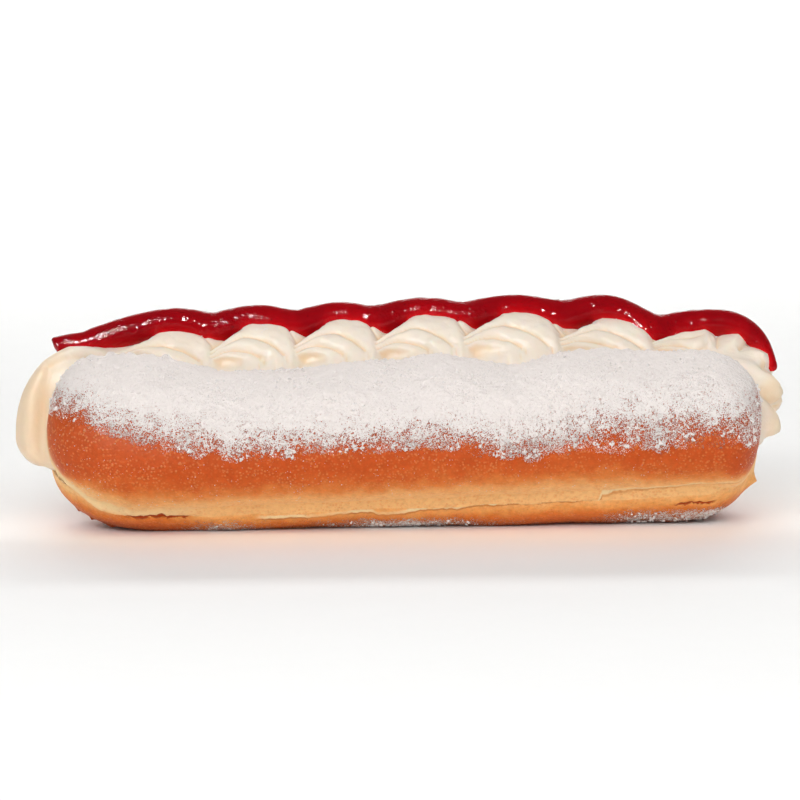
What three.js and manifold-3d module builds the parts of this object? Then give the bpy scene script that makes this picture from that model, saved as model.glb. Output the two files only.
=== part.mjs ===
// A cream-filled finger bun: a long fried bun, sliced open along one side, standing with its mouth up
// and leaning back a little. Piped whipped cream fills it and a rope of jam runs along the cream.
//
// Millimetres, +Z up, X along the bun. The origin is at the bottom centre of the whole.
//
// The two halves of the bun are D-shaped in section. Their flat cut faces meet in an uncut web, the
// hinge, low at the front. Every section is worked out in the slanting axes of its half and then
// stood on the floor: u runs across the bun from the hinge to the lip, w stands up off the cut face.

import * as THREE from 'three';
import Module from 'manifold-3d';

const wasm = await Module();
wasm.setup();

const DEG = Math.PI / 180;

// ---- Driving dimensions: the bun
const BUN_HALF_LENGTH = 84.2;
const HALF_WIDTH = 18.5; // half the width of a cut face
const FRONT_DOME = 17; // how far the front half bulges off its cut face
const BACK_DOME = 18;
const BACK_DOME_GROWTH = 1.8; // added to the back dome at the right end, taken off at the left
const SQUARENESS = 2.2; // exponent of the D outlines: 2 is an ellipse, more is boxier
const LIP_CORNER = 16; // length of the rounded ends along the lip,
const HINGE_CORNER = 20; // along the hinge
const DOME_CORNER = 19.5; // and of the dome
const LIP_SKEW = 0.15; // the rounded end of the lip is this much longer at the right end
const CORNER_SKEW = 0.25; // the other two are this much longer at the left end
const BACK_TILT = 22 * DEG; // rise of the back cut face away from the front
const OPENING = 48 * DEG; // angle between the two cut faces
const WEB = 5; // uncut width at the hinge
const TWIST = 4.5 * DEG; // the bun is wrung by this much at each end
const LIP_DROP = 1.7; // the front lip is this much narrower than the back one,
const LIP_TAPER = 2.2; // by more at the right end and less at the left
const PRESSED_FLAT = 0.9; // depth of underside that is squashed flat on the floor

// ---- Driving dimensions: the cream
const GAP = 0.3; // between neighbouring pieces
const CREAM_LEFT = -92.2; // ends of the cream, which hangs out past the bun
const CREAM_RIGHT = 90.5;
const ROPE_DEPTH = 29.5; // distance of the cream rope's axis from the root of the slice
const VALLEY_RADIUS = 9.7; // radius of the rope between two turns
const FLANK_FALL = 2.3; // taken off it beside the lips
const TURN_RISE = 5; // how far a turn stands out of a valley
const FLANK_FLATNESS = 0.35; // share of that rise that is lost beside the lips
const RIDGE_RISE = 1.1; // how far a ridge stands out of the crease beside it
const RIDGES_PER_TURN = 4;
const HOLLOW_DEPTH = 2.2; // of the pocket at the foot of each turn
const TURN_PITCH = 21.06; // mean length of a turn
const PITCH_WANDER = 1.6;
const FIRST_VALLEY = -45.6;
const TURN_RUN = [-1, 5]; // first and last turn, counted from the valley above
const TAIL_RADIUS = 11; // smooth left end, with long ridges
const TAIL_DROP = 3; // how far its top sinks
const TAIL_RIDGE_RISE = 1.1;
const TAIL_RIDGE_WIDTH = 6.2;
const FAN_RADIUS = 10.3; // right end, with pointed ridges
const FAN_RISE = 1.5;
const FAN_LOBE = 34.6 * DEG;
const FAN_PIVOT = { x: 74.3, p: 21 };

// ---- Driving dimensions: the jam
const JAM_RADIUS = 3.3;
const JAM_ORBIT = 14.6; // distance of its axis from the axis of the cream rope
const JAM_DIP = 2.2; // how far the jam sags into each valley
const JAM_END_DROP = 5.7; // how far it sinks to the left end
const JAM_LEFT = -84.6;
const JAM_RIGHT = 90.0;
const JAM_ANGLE = 30 * DEG; // of the jam round the rope of cream, from the middle of the mouth

// ---- Place of the hinge line in the frame
const HINGE_Y = -15.9;
const SHIFT_X = 0.65;

// ---- Fineness of the surfaces: steps along the length, and round a section
const BUN_STEPS = { length: 40, dome: 15, face: 2 };
const CREAM_STEPS = { length: 102, mouth: 28, inside: 8, cap: 5 };
const JAM_STEPS = { length: 80, round: 9 };
const TRIM = 0.04; // corners flatter than this are left out

const clamp = (value, low, high) => Math.min(Math.max(value, low), high);
const mix = (a, b, t) => a + (b - a) * t;
const hump = (x, centre, width) => Math.exp(-(((x - centre) / width) ** 2));

function smoothstep(low, high, value) {
  const t = clamp((value - low) / (high - low), 0, 1);
  return t * t * (3 - 2 * t);
}

// 1 along the body and falling to 0 at |x| = half, over a rounded end of the given length.
function roundedEnd(x, half, corner, exponent) {
  const t = clamp((Math.abs(x) - (half - corner)) / corner, 0, 1);
  return (1 - t ** exponent) ** (1 / exponent);
}

// ---- How the bun stands

const twistAt = (x) => (-TWIST * x) / BUN_HALF_LENGTH;
const backDomeAt = (x) => BACK_DOME + (BACK_DOME_GROWTH * x) / BUN_HALF_LENGTH;

// Height of the hinge that lets the underside sink PRESSED_FLAT into the floor. The lowest point of
// a superellipse comes from its dual exponent.
function hingeHeight(x) {
  const tilt = BACK_TILT + twistAt(x);
  const dual = SQUARENESS / (SQUARENESS - 1);
  const across = HALF_WIDTH * Math.sin(tilt);
  const down = backDomeAt(x) * Math.cos(tilt);
  const reach = (across ** dual + down ** dual) ** (1 / dual);
  return reach - across - PRESSED_FLAT;
}

// A point at distance (along, off) from the root of the slice, along and square to a line that
// rises at the given tilt, in the frame of the part.
function place(x, tilt, along, off) {
  const back = BACK_TILT + twistAt(x);
  const slant = tilt + twistAt(x);
  const y = WEB * Math.cos(back) + along * Math.cos(slant) - off * Math.sin(slant);
  const z = WEB * Math.sin(back) + along * Math.sin(slant) + off * Math.cos(slant);
  return [x + SHIFT_X, y + HINGE_Y, Math.max(z + hingeHeight(x), 0)];
}

// ---- The bun

// The front lip dips twice along its length and tapers to the right.
function lipDrop(x) {
  const dips = 3.6 * hump(x, -30, 23) + 2.3 * hump(x, 20, 17);
  return LIP_DROP + dips + (LIP_TAPER * x) / BUN_HALF_LENGTH;
}

// Slow swelling of a dome along and around the bun.
function swelling(x, turn, phase) {
  const along = 0.016 * Math.sin(x / 9.5 + phase) + 0.012 * Math.sin(x / 17 + 2.1 * phase);
  return 1 + along + 0.012 * Math.sin(2 * turn + x / 13 + phase);
}


const skewed = (corner, skew, x) => corner * (1 + skew * Math.sign(x));

// Edges of a cut face at station x: u at the hinge side and at the lip.
function faceEdges(x, drop) {
  const hingeCorner = skewed(HINGE_CORNER, -CORNER_SKEW, x);
  const hinge = HALF_WIDTH * (1 - roundedEnd(x, BUN_HALF_LENGTH, hingeCorner, 2));
  const wide = roundedEnd(x, BUN_HALF_LENGTH, skewed(LIP_CORNER, LIP_SKEW, x), 2);
  const lip = HALF_WIDTH + (HALF_WIDTH - drop) * wide;
  return [hinge, lip];
}

// One half: rings of a dome closed by the flat cut face. side is +1 for the front, -1 for the back.
function halfBun(side) {
  const tilt = side > 0 ? BACK_TILT + OPENING : BACK_TILT;
  const rings = [];
  for (let i = 0; i <= BUN_STEPS.length; i += 1) {
    const x = -BUN_HALF_LENGTH * Math.cos((Math.PI * i) / BUN_STEPS.length);
    const [hinge, lip] = faceEdges(x, side > 0 ? lipDrop(x) : 0);
    const middle = (hinge + lip) / 2;
    const half = (lip - hinge) / 2;
    const height = side > 0 ? FRONT_DOME : backDomeAt(x);
    const corner = skewed(DOME_CORNER, -CORNER_SKEW, x);
    const dome = height * roundedEnd(x, BUN_HALF_LENGTH, corner, SQUARENESS);
    const ring = [];
    for (let k = 0; k <= BUN_STEPS.dome; k += 1) {
      const turn = (Math.PI * k) / BUN_STEPS.dome;
      const c = Math.cos(turn);
      const across = middle - half * Math.sign(c) * Math.abs(c) ** (2 / SQUARENESS);
      const off = dome * Math.sin(turn) ** (2 / SQUARENESS) * swelling(x, turn, side);
      ring.push(place(x, tilt, across - WEB, side * off));
    }
    for (let k = 1; k < BUN_STEPS.face; k += 1) {
      ring.push(place(x, tilt, mix(lip, hinge, k / BUN_STEPS.face) - WEB, 0));
    }
    rings.push(side > 0 ? ring.reverse() : ring);
  }
  return closedLoft(rings);
}

// ---- The cream

// Valleys between the turns, at a pitch that wanders a little.
const valleyAt = (turn) =>
  FIRST_VALLEY + TURN_PITCH * turn - PITCH_WANDER * (1 - Math.cos((2 * Math.PI * turn) / 5));

// Height of a place on the rope over the lip, 0 at the lip and 1 at the top.
const LIP_ANGLE = 91.5 * DEG;
const FOOT_ANGLE = 100 * DEG;
const TOP_ANGLE = 34 * DEG;
function riseOf(angle) {
  const low = Math.cos(FOOT_ANGLE - TOP_ANGLE);
  const here = Math.cos(Math.max(Math.abs(angle), TOP_ANGLE) - TOP_ANGLE);
  return (here - low) / (1 - low);
}

// Rounded ridges with a sharp crease between them: 1 on a ridge, 0 in a crease.
const ridged = (value) => Math.sqrt(Math.max(0, 1 - (2 * (value - Math.floor(value)) - 1) ** 2));

const norm = (a, b, exponent) =>
  (Math.abs(a) ** exponent + Math.abs(b) ** exponent) ** (1 / exponent);

// Height of one turn of piping. Its ridges are nested arches that start flat at the left valley,
// lean to the right as they rise and fall steeply at the right edge, over the next turn.
function turnHeight(x, angle, turn) {
  const start = valleyAt(turn);
  const rise = riseOf(angle);
  const lean = 0.08 + 0.12 * rise + 0.36 * rise ** 2;
  const along = (x - start) / (valleyAt(turn + 1) - start) - lean;
  const across = along / (along > 0 ? 0.95 : 0.34);
  const arch = norm(across, rise / 0.97, along > 0 ? 1.5 : 2.2);
  const edge = norm(across, rise / 1.3, along > 0 ? 1.5 : 2.2);
  const body = 1 - smoothstep(0.9, 1.17, edge);
  const climb = mix(0.72, 1, smoothstep(0.2, 0.95, arch)) - 0.25 * smoothstep(0.2, 1.1, -across);
  const pocket = HOLLOW_DEPTH * (1 - smoothstep(0, 0.34, arch));
  const ridges = RIDGE_RISE * ridged((arch / 1.16) * RIDGES_PER_TURN) * body;
  return TURN_RISE * body * climb + ridges - pocket;
}

// Distance from the rope's axis to the wall of the slice, at an angle past the lip.
function wallDistance(angle) {
  const half = OPENING / 2;
  const side = ROPE_DEPTH * Math.tan(half) - GAP / Math.cos(half);
  return side / (Math.sin(angle) - Math.cos(angle) * Math.tan(half));
}

// The rope swells in the middle of the bun and sinks towards the right end.
const archAt = (x) => 1.2 * hump(x, 18, 34) - 3.8 * smoothstep(48, 70, x);

// Radius of the cream about the rope's axis at station x.
function creamRadius(x, angle) {
  let turns = 0;
  for (let turn = TURN_RUN[0]; turn <= TURN_RUN[1]; turn += 1) {
    turns = Math.max(turns, turnHeight(x, angle, turn));
  }
  const tail = 1 - smoothstep(-80, -66, x);
  const fan = smoothstep(64, 76, x);
  const side = TAIL_RADIUS * Math.sin(angle);
  const longRidges = TAIL_RIDGE_RISE * ridged(side / TAIL_RIDGE_WIDTH + 0.5);
  const flank = Math.sin(angle) ** 2;
  const rise = turns * (1 - FLANK_FLATNESS * flank);
  const piped = VALLEY_RADIUS - FLANK_FALL * flank + rise + archAt(x);
  const smooth = TAIL_RADIUS + longRidges - TAIL_DROP * Math.max(0, Math.cos(angle)) ** 2;
  const open = mix(mix(piped, smooth, tail), FAN_RADIUS, fan);
  const inside = smoothstep(104 * DEG, 124 * DEG, Math.abs(angle));
  const wall = wallDistance(Math.max(Math.abs(angle), LIP_ANGLE));
  const overLip = 7 * Math.max(0, LIP_ANGLE - Math.abs(angle));
  return Math.min(mix(open, wall, inside), wall + overLip);
}

// How deep the cream reaches into the slice, less at the ends where the slice runs out.
function rootAt(x) {
  const [hinge] = faceEdges(x, 0);
  return clamp(hinge - 0.6 * WEB, 1.5, 6);
}

// Ends of the cream: every section is drawn in towards a point that lies on the middle of the slice.
const CAP_SQUARENESS = 2.3;
const CAPS = [
  { start: 76, end: -CREAM_LEFT, p: 15.8 },
  { start: 74, end: CREAM_RIGHT, p: 21 },
];

// Scallops on the right end: the surface is pushed out from a pivot, one lobe for each ridge.
function fanScale(x, p) {
  const away = Math.hypot(x - FAN_PIVOT.x, p - FAN_PIVOT.p);
  const bearing = Math.atan2(p - FAN_PIVOT.p, x - FAN_PIVOT.x) + 53 * DEG;
  const lobe = Math.abs(Math.sin((Math.PI * bearing) / FAN_LOBE)) ** 0.8;
  return FAN_RISE * (lobe - 0.7) * smoothstep(66, 78, x) * smoothstep(4, 12, away);
}

// A point on the cream, or at a distance off it, in slice axes: p up the middle, q to the front.
function creamPoint(x, angle, off = 0) {
  let radius = creamRadius(x, angle) + off;
  const depth = ROPE_DEPTH - rootAt(x) + off;
  if (Math.cos(angle) < 0) radius = Math.min(radius, depth / -Math.cos(angle));
  let p = ROPE_DEPTH + radius * Math.cos(angle);
  let q = radius * Math.sin(angle);
  const cap = CAPS[x < 0 ? 0 : 1];
  const scale = roundedEnd(x, cap.end, cap.end - cap.start, CAP_SQUARENESS);
  p = cap.p + (p - cap.p) * scale;
  q *= scale;
  const push = fanScale(x, p);
  const away = Math.hypot(x - FAN_PIVOT.x, p - FAN_PIVOT.p) || 1;
  return {
    x: x + (push * Math.max(x - FAN_PIVOT.x, 0)) / away,
    p: p + (push * (p - FAN_PIVOT.p)) / away,
    q,
  };
}

const MIDDLE = BACK_TILT + OPENING / 2;
const fromSlice = ({ x, p, q }) => place(x, MIDDLE, p, q);

// Stations along the cream, closer together on the rounded ends.
function creamStations() {
  const capLength = 8;
  const steps = CREAM_STEPS;
  const left = CREAM_LEFT + capLength;
  const right = CREAM_RIGHT - capLength;
  const xs = [];
  for (let i = 0; i < steps.cap; i += 1) {
    xs.push(CREAM_LEFT + capLength * (1 - Math.cos((Math.PI * i) / steps.cap / 2)));
  }
  for (let i = 0; i <= steps.length; i += 1) xs.push(mix(left, right, i / steps.length));
  for (let i = steps.cap - 1; i >= 0; i -= 1) {
    xs.push(CREAM_RIGHT - capLength * (1 - Math.cos((Math.PI * i) / steps.cap / 2)));
  }
  return xs;
}

// Angles round the rope: fine over the mouth from lip to lip, coarse inside the slice.
function creamAngles() {
  const { mouth, inside } = CREAM_STEPS;
  const angles = [];
  for (let k = 0; k < mouth; k += 1) {
    angles.push(mix(-LIP_ANGLE, LIP_ANGLE, k / mouth));
  }
  for (let k = 0; k < inside; k += 1) {
    angles.push(mix(LIP_ANGLE, 2 * Math.PI - LIP_ANGLE, k / inside));
  }
  return angles.map((angle) => (angle > Math.PI ? angle - 2 * Math.PI : angle));
}

function creamSolid(off = 0) {
  const angles = creamAngles();
  const rings = creamStations().map((x) =>
    angles.map((angle) => fromSlice(creamPoint(x, angle, off))),
  );
  return closedLoft(rings);
}

// ---- The jam

// 0 over the middle of a turn and 1 in a valley.
function valleyness(x) {
  let sag = 0;
  for (let turn = 0; turn <= TURN_RUN[1]; turn += 1) {
    sag = Math.max(sag, hump(x, valleyAt(turn), 5.5) * (turn === TURN_RUN[1] ? 1.7 : 1));
  }
  return sag;
}

// The jam's axis: along the crests of the cream, sagging between them, then over the right end.
function jamAxis(x) {
  const ends = JAM_END_DROP * (1 - smoothstep(-86, -58, x));
  const radius = JAM_ORBIT + archAt(x) - JAM_DIP * valleyness(x) - ends;
  const cap = CAPS[x < 0 ? 0 : 1];
  const end = cap.end + 1.2;
  const scale = roundedEnd(x, end, end - cap.start, CAP_SQUARENESS);
  const p = ROPE_DEPTH + radius * Math.cos(JAM_ANGLE);
  const q = radius * Math.sin(JAM_ANGLE);
  return new THREE.Vector3(...fromSlice({ x, p: cap.p + (p - cap.p) * scale, q: q * scale }));
}

// Radius of the jam: blunt and thin at the left end, a rounded tip at the right.
function jamRadius(x) {
  const start = mix(0.85, 1, smoothstep(JAM_LEFT, JAM_LEFT + 18, x));
  const tip = mix(1, 0.62, smoothstep(78, JAM_RIGHT, x));
  const swell = 0.14 * valleyness(x) + 0.16 * hump(x, -66, 8);
  return JAM_RADIUS * start * tip * (1 + swell);
}

function jamSolid() {
  const rings = [];
  for (let i = 0; i <= JAM_STEPS.length; i += 1) {
    const t = i / JAM_STEPS.length;
    const x = mix(JAM_LEFT, JAM_RIGHT, 1 - (1 - t) ** 1.12);
    const axis = jamAxis(x);
    const ahead = jamAxis(Math.min(x + 0.4, JAM_RIGHT + 0.4)).sub(jamAxis(x - 0.4)).normalize();
    const outward = new THREE.Vector3(...fromSlice({ x, p: ROPE_DEPTH, q: 0 }));
    outward.subVectors(axis, outward);
    outward.x = 0;
    const side = new THREE.Vector3().crossVectors(ahead, outward).normalize();
    const up = new THREE.Vector3().crossVectors(side, ahead);
    const endRound = Math.sqrt(Math.max(0, 1 - clamp((t - 0.97) / 0.03, 0, 1) ** 2));
    const blunt = i === 0 ? 0 : 1;
    const radius = jamRadius(x) * endRound * blunt;
    const ring = [];
    for (let k = 0; k < JAM_STEPS.round; k += 1) {
      const turn = (2 * Math.PI * k) / JAM_STEPS.round;
      const point = axis.clone();
      point.addScaledVector(side, -radius * Math.cos(turn)).addScaledVector(up, radius * Math.sin(turn));
      ring.push(point.toArray());
    }
    rings.push(ring);
  }
  return closedLoft(rings);
}

// ---- Solids from rings

// Joins rings of equal length into a closed body. The first and last ring shrink to a point.
function closedLoft(rings) {
  const size = rings[0].length;
  const last = rings.length - 1;
  const points = [];
  const starts = rings.map((ring, i) => {
    const start = points.length;
    if (i === 0 || i === last) {
      points.push(ring[0].map((_, axis) => ring.reduce((sum, p) => sum + p[axis], 0) / size));
    } else {
      points.push(...ring);
    }
    return start;
  });
  const triangles = [];
  for (let i = 0; i < last; i += 1) {
    for (let k = 0; k < size; k += 1) {
      const next = (k + 1) % size;
      const [a, b] = i === 0 ? [starts[0], starts[0]] : [starts[i] + k, starts[i] + next];
      const far = i === last - 1;
      const [c, d] = far ? [starts[last], starts[last]] : [starts[i + 1] + k, starts[i + 1] + next];
      if (i > 0) triangles.push(a, b, c);
      if (!far) triangles.push(b, d, c);
    }
  }
  const mesh = new wasm.Mesh({
    numProp: 3,
    vertProperties: new Float32Array(points.flat()),
    triVerts: new Uint32Array(triangles),
  });
  return new wasm.Manifold(mesh);
}

function namedMesh(name, solid, look) {
  const { vertProperties, triVerts } = solid.getMesh();
  const geometry = new THREE.BufferGeometry();
  geometry.setAttribute('position', new THREE.BufferAttribute(vertProperties, 3));
  geometry.setIndex(new THREE.BufferAttribute(triVerts, 1));
  geometry.computeVertexNormals();
  const mesh = new THREE.Mesh(geometry, new THREE.MeshStandardMaterial(look));
  mesh.name = name;
  return mesh;
}

const fingerBun = new THREE.Group();
fingerBun.name = 'finger_bun';
fingerBun.add(
  namedMesh('bun', halfBun(1).add(halfBun(-1)).simplify(TRIM), { color: 0xbf5e28, roughness: 0.65 }),
  namedMesh('cream', creamSolid(), { color: 0xf0e0cc, roughness: 0.45 }),
  namedMesh('jam', jamSolid().subtract(creamSolid(2 * GAP)).simplify(TRIM), { color: 0x96000f, roughness: 0.15 }),
);

export default fingerBun;
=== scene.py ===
"""A finger bun filled with piped whipped cream, a rope of jam along it and icing sugar on its front.

Every shape is a surface of two parameters, worked out in millimetres in the slanting axes of the
sliced bun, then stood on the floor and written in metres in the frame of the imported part.
"""

import logging
import math
from dataclasses import dataclass, field
from enum import Enum
from functools import reduce
from typing import Sequence

import bpy
import numpy as np
from mathutils import Matrix, Vector

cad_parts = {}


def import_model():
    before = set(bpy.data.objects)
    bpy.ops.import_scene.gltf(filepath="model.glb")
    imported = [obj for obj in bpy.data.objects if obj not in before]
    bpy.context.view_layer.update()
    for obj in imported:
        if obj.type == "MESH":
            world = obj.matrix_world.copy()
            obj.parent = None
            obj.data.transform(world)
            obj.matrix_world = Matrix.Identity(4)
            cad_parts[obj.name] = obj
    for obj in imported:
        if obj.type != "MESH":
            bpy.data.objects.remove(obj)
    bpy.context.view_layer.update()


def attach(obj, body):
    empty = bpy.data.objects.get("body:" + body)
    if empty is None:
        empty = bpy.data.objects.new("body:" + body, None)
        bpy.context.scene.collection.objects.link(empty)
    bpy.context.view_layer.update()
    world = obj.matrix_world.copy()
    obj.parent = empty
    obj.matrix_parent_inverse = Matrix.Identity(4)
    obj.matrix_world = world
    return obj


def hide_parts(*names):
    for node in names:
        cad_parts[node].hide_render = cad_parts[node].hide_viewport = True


LOG = logging.getLogger("finger_bun")
METRES = 0.001
DEG = math.pi / 180.0
TINY = 1e-6
SHARP_EDGE = 50.0 * DEG

Colour = tuple[float, float, float]


# ---- Shared formulas


def mix(a: np.ndarray, b: np.ndarray, t: np.ndarray) -> np.ndarray:
    """Returns a where t is 0 and b where t is 1, straight in between."""
    return a + (b - a) * t


def smoothstep(low: float, high: float, value: np.ndarray) -> np.ndarray:
    """Returns 0 below low and 1 above high, on the cubic 3t^2 - 2t^3 in between."""
    t = np.clip((np.asarray(value, float) - low) / (high - low), 0.0, 1.0)
    return t * t * (3.0 - 2.0 * t)


def hump(x: np.ndarray, centre: float, width: float) -> np.ndarray:
    """Returns a bell of height 1: e to the minus squared distance from centre, in widths."""
    return np.exp(-(((x - centre) / width) ** 2))


def rounded_end(x: np.ndarray, half: float, corner: np.ndarray, power: float) -> np.ndarray:
    """Returns 1 along a body and a superellipse down to 0 at |x| = half, over a corner's length."""
    t = np.clip((np.abs(x) - (half - corner)) / corner, 0.0, 1.0)
    return (1.0 - t**power) ** (1.0 / power)


def ridged(value: np.ndarray) -> np.ndarray:
    """Returns rounded ridges with sharp creases: a half circle over each whole number."""
    return np.sqrt(np.maximum(0.0, 1.0 - (2.0 * (value - np.floor(value)) - 1.0) ** 2))


def norm(a: np.ndarray, b: np.ndarray, power: np.ndarray) -> np.ndarray:
    """Returns the superelliptic length of (a, b): the power-th root of the summed powers."""
    return (np.abs(a) ** power + np.abs(b) ** power) ** (1.0 / power)


def ripple(points: np.ndarray, wavelength: float, seed: int, waves: int = 18) -> np.ndarray:
    """Smooth unevenness of unit spread: a sum of plane waves in random directions.

    Args:
        points: places, in millimetres, in the last axis.
        wavelength: mean distance between crests, in millimetres.
        seed: which set of directions is drawn.
        waves: how many waves are added.

    Returns:
        One height for each place.
    """
    rng = np.random.default_rng(seed)
    direction = rng.normal(size=(waves, 3))
    direction /= np.linalg.norm(direction, axis=1, keepdims=True)
    pace = 2.0 * math.pi / wavelength * rng.uniform(0.7, 1.4, (waves, 1))
    phase = rng.uniform(0.0, 2.0 * math.pi, waves)
    return np.cos(points @ (direction * pace).T + phase).sum(-1) * math.sqrt(2.0 / waves)


@dataclass(frozen=True)
class Bell:
    """A bell-shaped rise: its height, the place of its middle and its width."""

    height: float
    centre: float
    width: float

    def at(self, where: np.ndarray) -> np.ndarray:
        """Returns the rise at each place."""
        return self.height * hump(where, self.centre, self.width)


@dataclass(frozen=True)
class Fade:
    """A smooth step from 0 at one place up to its height at another, on either side of it."""

    none: float
    full: float
    height: float = 1.0

    def at(self, where: np.ndarray) -> np.ndarray:
        """Returns the height of the step at each place."""
        return self.height * smoothstep(self.none, self.full, where)


@dataclass(frozen=True)
class Span:
    """A smooth plateau: one fade rises to it and another falls from it."""

    rise: Fade
    fall: Fade
    height: float = 1.0

    def at(self, where: np.ndarray) -> np.ndarray:
        """Returns the height times both fades at each place."""
        return self.height * self.rise.at(where) * self.fall.at(where)


@dataclass(frozen=True)
class Ripple:
    """Smooth unevenness of a height and a wavelength, in millimetres, drawn from a seed."""

    height: float
    wavelength: float
    seed: int

    def at(self, points: np.ndarray) -> np.ndarray:
        """Returns the height of the unevenness at each place."""
        return self.height * ripple(points, self.wavelength, self.seed)


def summed(parts: Sequence[Bell | Fade | Ripple], where: np.ndarray) -> np.ndarray:
    """Returns the sum of several bells, fades or ripples at each place."""
    return sum(part.at(where) for part in parts)


# ---- Meshes from grids


@dataclass
class Shell:
    """A surface as plain arrays: places in millimetres, and faces of three or four corners."""

    points: np.ndarray
    faces: list[Sequence[int]]
    values: dict[str, np.ndarray] = field(default_factory=dict)

    @classmethod
    def loft(cls, rings: np.ndarray) -> "Shell":
        """Joins rings of equal length into a closed body whose two end rings shrink to a point.

        Args:
            rings: array of shape (stations, places round a ring, 3).

        Returns:
            The shell, with its faces turned outwards.
        """
        stations, size = rings.shape[:2]
        body = rings[1:-1].reshape(-1, 3)
        points = np.vstack([body, rings[0].mean(0), rings[-1].mean(0)])
        station, place = np.meshgrid(np.arange(stations - 3), np.arange(size), indexing="ij")
        a = station * size + place
        b = station * size + (place + 1) % size
        quads = np.stack([a, b, b + size, a + size], -1).reshape(-1, 4)
        here = np.arange(size)
        ahead = (here + 1) % size
        last = (stations - 3) * size
        first_pole, last_pole = len(body), len(body) + 1
        near = np.stack([np.full(size, first_pole), ahead, here], 1)
        far = np.stack([np.full(size, last_pole), last + here, last + ahead], 1)
        shell = cls(points, quads.tolist() + near.tolist() + far.tolist())
        corner = points[quads]
        flow = np.cross(corner[:, 1] - corner[:, 0], corner[:, 2] - corner[:, 0])
        if (flow * (corner[:, 0] - points.mean(0))).sum() < 0.0:
            shell.faces = [face[::-1] for face in shell.faces]
        return shell

    def mesh(self, name: str) -> bpy.types.Mesh:
        """Writes the shell, in metres, and its values as point attributes into a new mesh."""
        mesh = bpy.data.meshes.new(name)
        mesh.from_pydata((self.points * METRES).tolist(), [], self.faces)
        write_values(mesh, self.values)
        mesh.shade_smooth()
        return mesh


def write_values(mesh: bpy.types.Mesh, values: dict[str, np.ndarray]) -> None:
    """Writes numbers as point attributes of a mesh."""
    for key, value in values.items():
        attribute = mesh.attributes.new(key, "FLOAT", "POINT")
        attribute.data.foreach_set("value", np.asarray(value, np.float32).ravel())


def read_places(items: bpy.types.bpy_prop_collection, name: str) -> np.ndarray:
    """Reads one place of each vertex or face, in millimetres."""
    places = np.zeros(len(items) * 3, np.float32)
    items.foreach_get(name, places)
    return places.reshape(-1, 3).astype(float) / METRES


def finish_piece(mesh: bpy.types.Mesh, materials: Sequence[bpy.types.Material],
                 nodes: Sequence[str] = ()) -> bpy.types.Object:
    """Puts a mesh into the scene as a piece that rides on the part's one body.

    Args:
        mesh: the finished mesh, already in its place.
        materials: its materials, in the order of its faces' material numbers.
        nodes: the CAD nodes that it stands for.

    Returns:
        The new object.
    """
    piece = bpy.data.objects.new(mesh.name, mesh)
    bpy.context.scene.collection.objects.link(piece)
    for material in materials:
        mesh.materials.append(material)
    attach(piece, "root")
    if nodes:
        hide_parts(*nodes)
    mesh.calc_loop_triangles()
    LOG.info("%s: %d triangles", piece.name, len(mesh.loop_triangles))
    return piece


# ---- How the bun stands


class Half(Enum):
    """The two halves of the sliced bun, by the side of the slice that they bulge to."""

    FRONT = 1
    BACK = -1


@dataclass(frozen=True)
class Stance:
    """The sliced bun's slanting axes: the slice opens upwards from an uncut web and leans back."""

    half_length: float = 84.2
    half_width: float = 18.5
    back_dome: float = 18.0
    back_dome_growth: float = 1.8
    squareness: float = 2.2
    web: float = 5.0
    back_tilt: float = 22.0 * DEG
    opening: float = 48.0 * DEG
    twist: float = 4.5 * DEG
    pressed_flat: float = 0.9
    hinge_y: float = -15.9
    shift_x: float = 0.65

    @property
    def middle(self) -> float:
        """Tilt of the plane half way between the two cut faces."""
        return self.back_tilt + self.opening / 2.0

    def tilt_of(self, half: Half) -> float:
        """Tilt of the cut face of one half."""
        return self.back_tilt + (self.opening if half is Half.FRONT else 0.0)

    def twist_at(self, x: np.ndarray) -> np.ndarray:
        """Turn of the section at station x: the bun is wrung a little from end to end."""
        return -self.twist * x / self.half_length

    def back_dome_at(self, x: np.ndarray) -> np.ndarray:
        """Height of the back dome at station x, growing straight to the right."""
        return self.back_dome + self.back_dome_growth * x / self.half_length

    def hinge_height(self, x: np.ndarray) -> np.ndarray:
        """Height of the hinge that sinks the underside by pressed_flat into the floor.

        The lowest point of a superellipse comes from its dual power: the root of the summed powers
        of its two half axes, each times its share of the downward direction.
        """
        tilt = self.back_tilt + self.twist_at(x)
        dual = self.squareness / (self.squareness - 1.0)
        across = self.half_width * np.sin(tilt)
        down = self.back_dome_at(x) * np.cos(tilt)
        return norm(across, down, dual) - across - self.pressed_flat

    def root(self, x: np.ndarray) -> tuple[np.ndarray, np.ndarray]:
        """Height and depth of the root of the slice, where both cut faces start."""
        back = self.back_tilt + self.twist_at(x)
        y = self.web * np.cos(back) + self.hinge_y
        z = self.web * np.sin(back) + self.hinge_height(x)
        return y, z

    def place(self, x: np.ndarray, tilt: float, along: np.ndarray, off: np.ndarray) -> np.ndarray:
        """Returns the places at (along, off) from the root, along and square to a slanting line."""
        x, along, off = np.broadcast_arrays(x, along, off)
        slant = tilt + self.twist_at(x)
        y0, z0 = self.root(x)
        y = y0 + along * np.cos(slant) - off * np.sin(slant)
        z = z0 + along * np.sin(slant) + off * np.cos(slant)
        return np.stack([x + self.shift_x, y, np.maximum(z, 0.0)], -1)

    def measure(self, points: np.ndarray, tilt: float) -> tuple[np.ndarray, np.ndarray, np.ndarray]:
        """Returns (x, along, off) of places: the way back from place()."""
        x = points[..., 0] - self.shift_x
        slant = tilt + self.twist_at(x)
        y0, z0 = self.root(x)
        y = points[..., 1] - y0
        z = points[..., 2] - z0
        return x, y * np.cos(slant) + z * np.sin(slant), z * np.cos(slant) - y * np.sin(slant)


# ---- The bun


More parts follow.
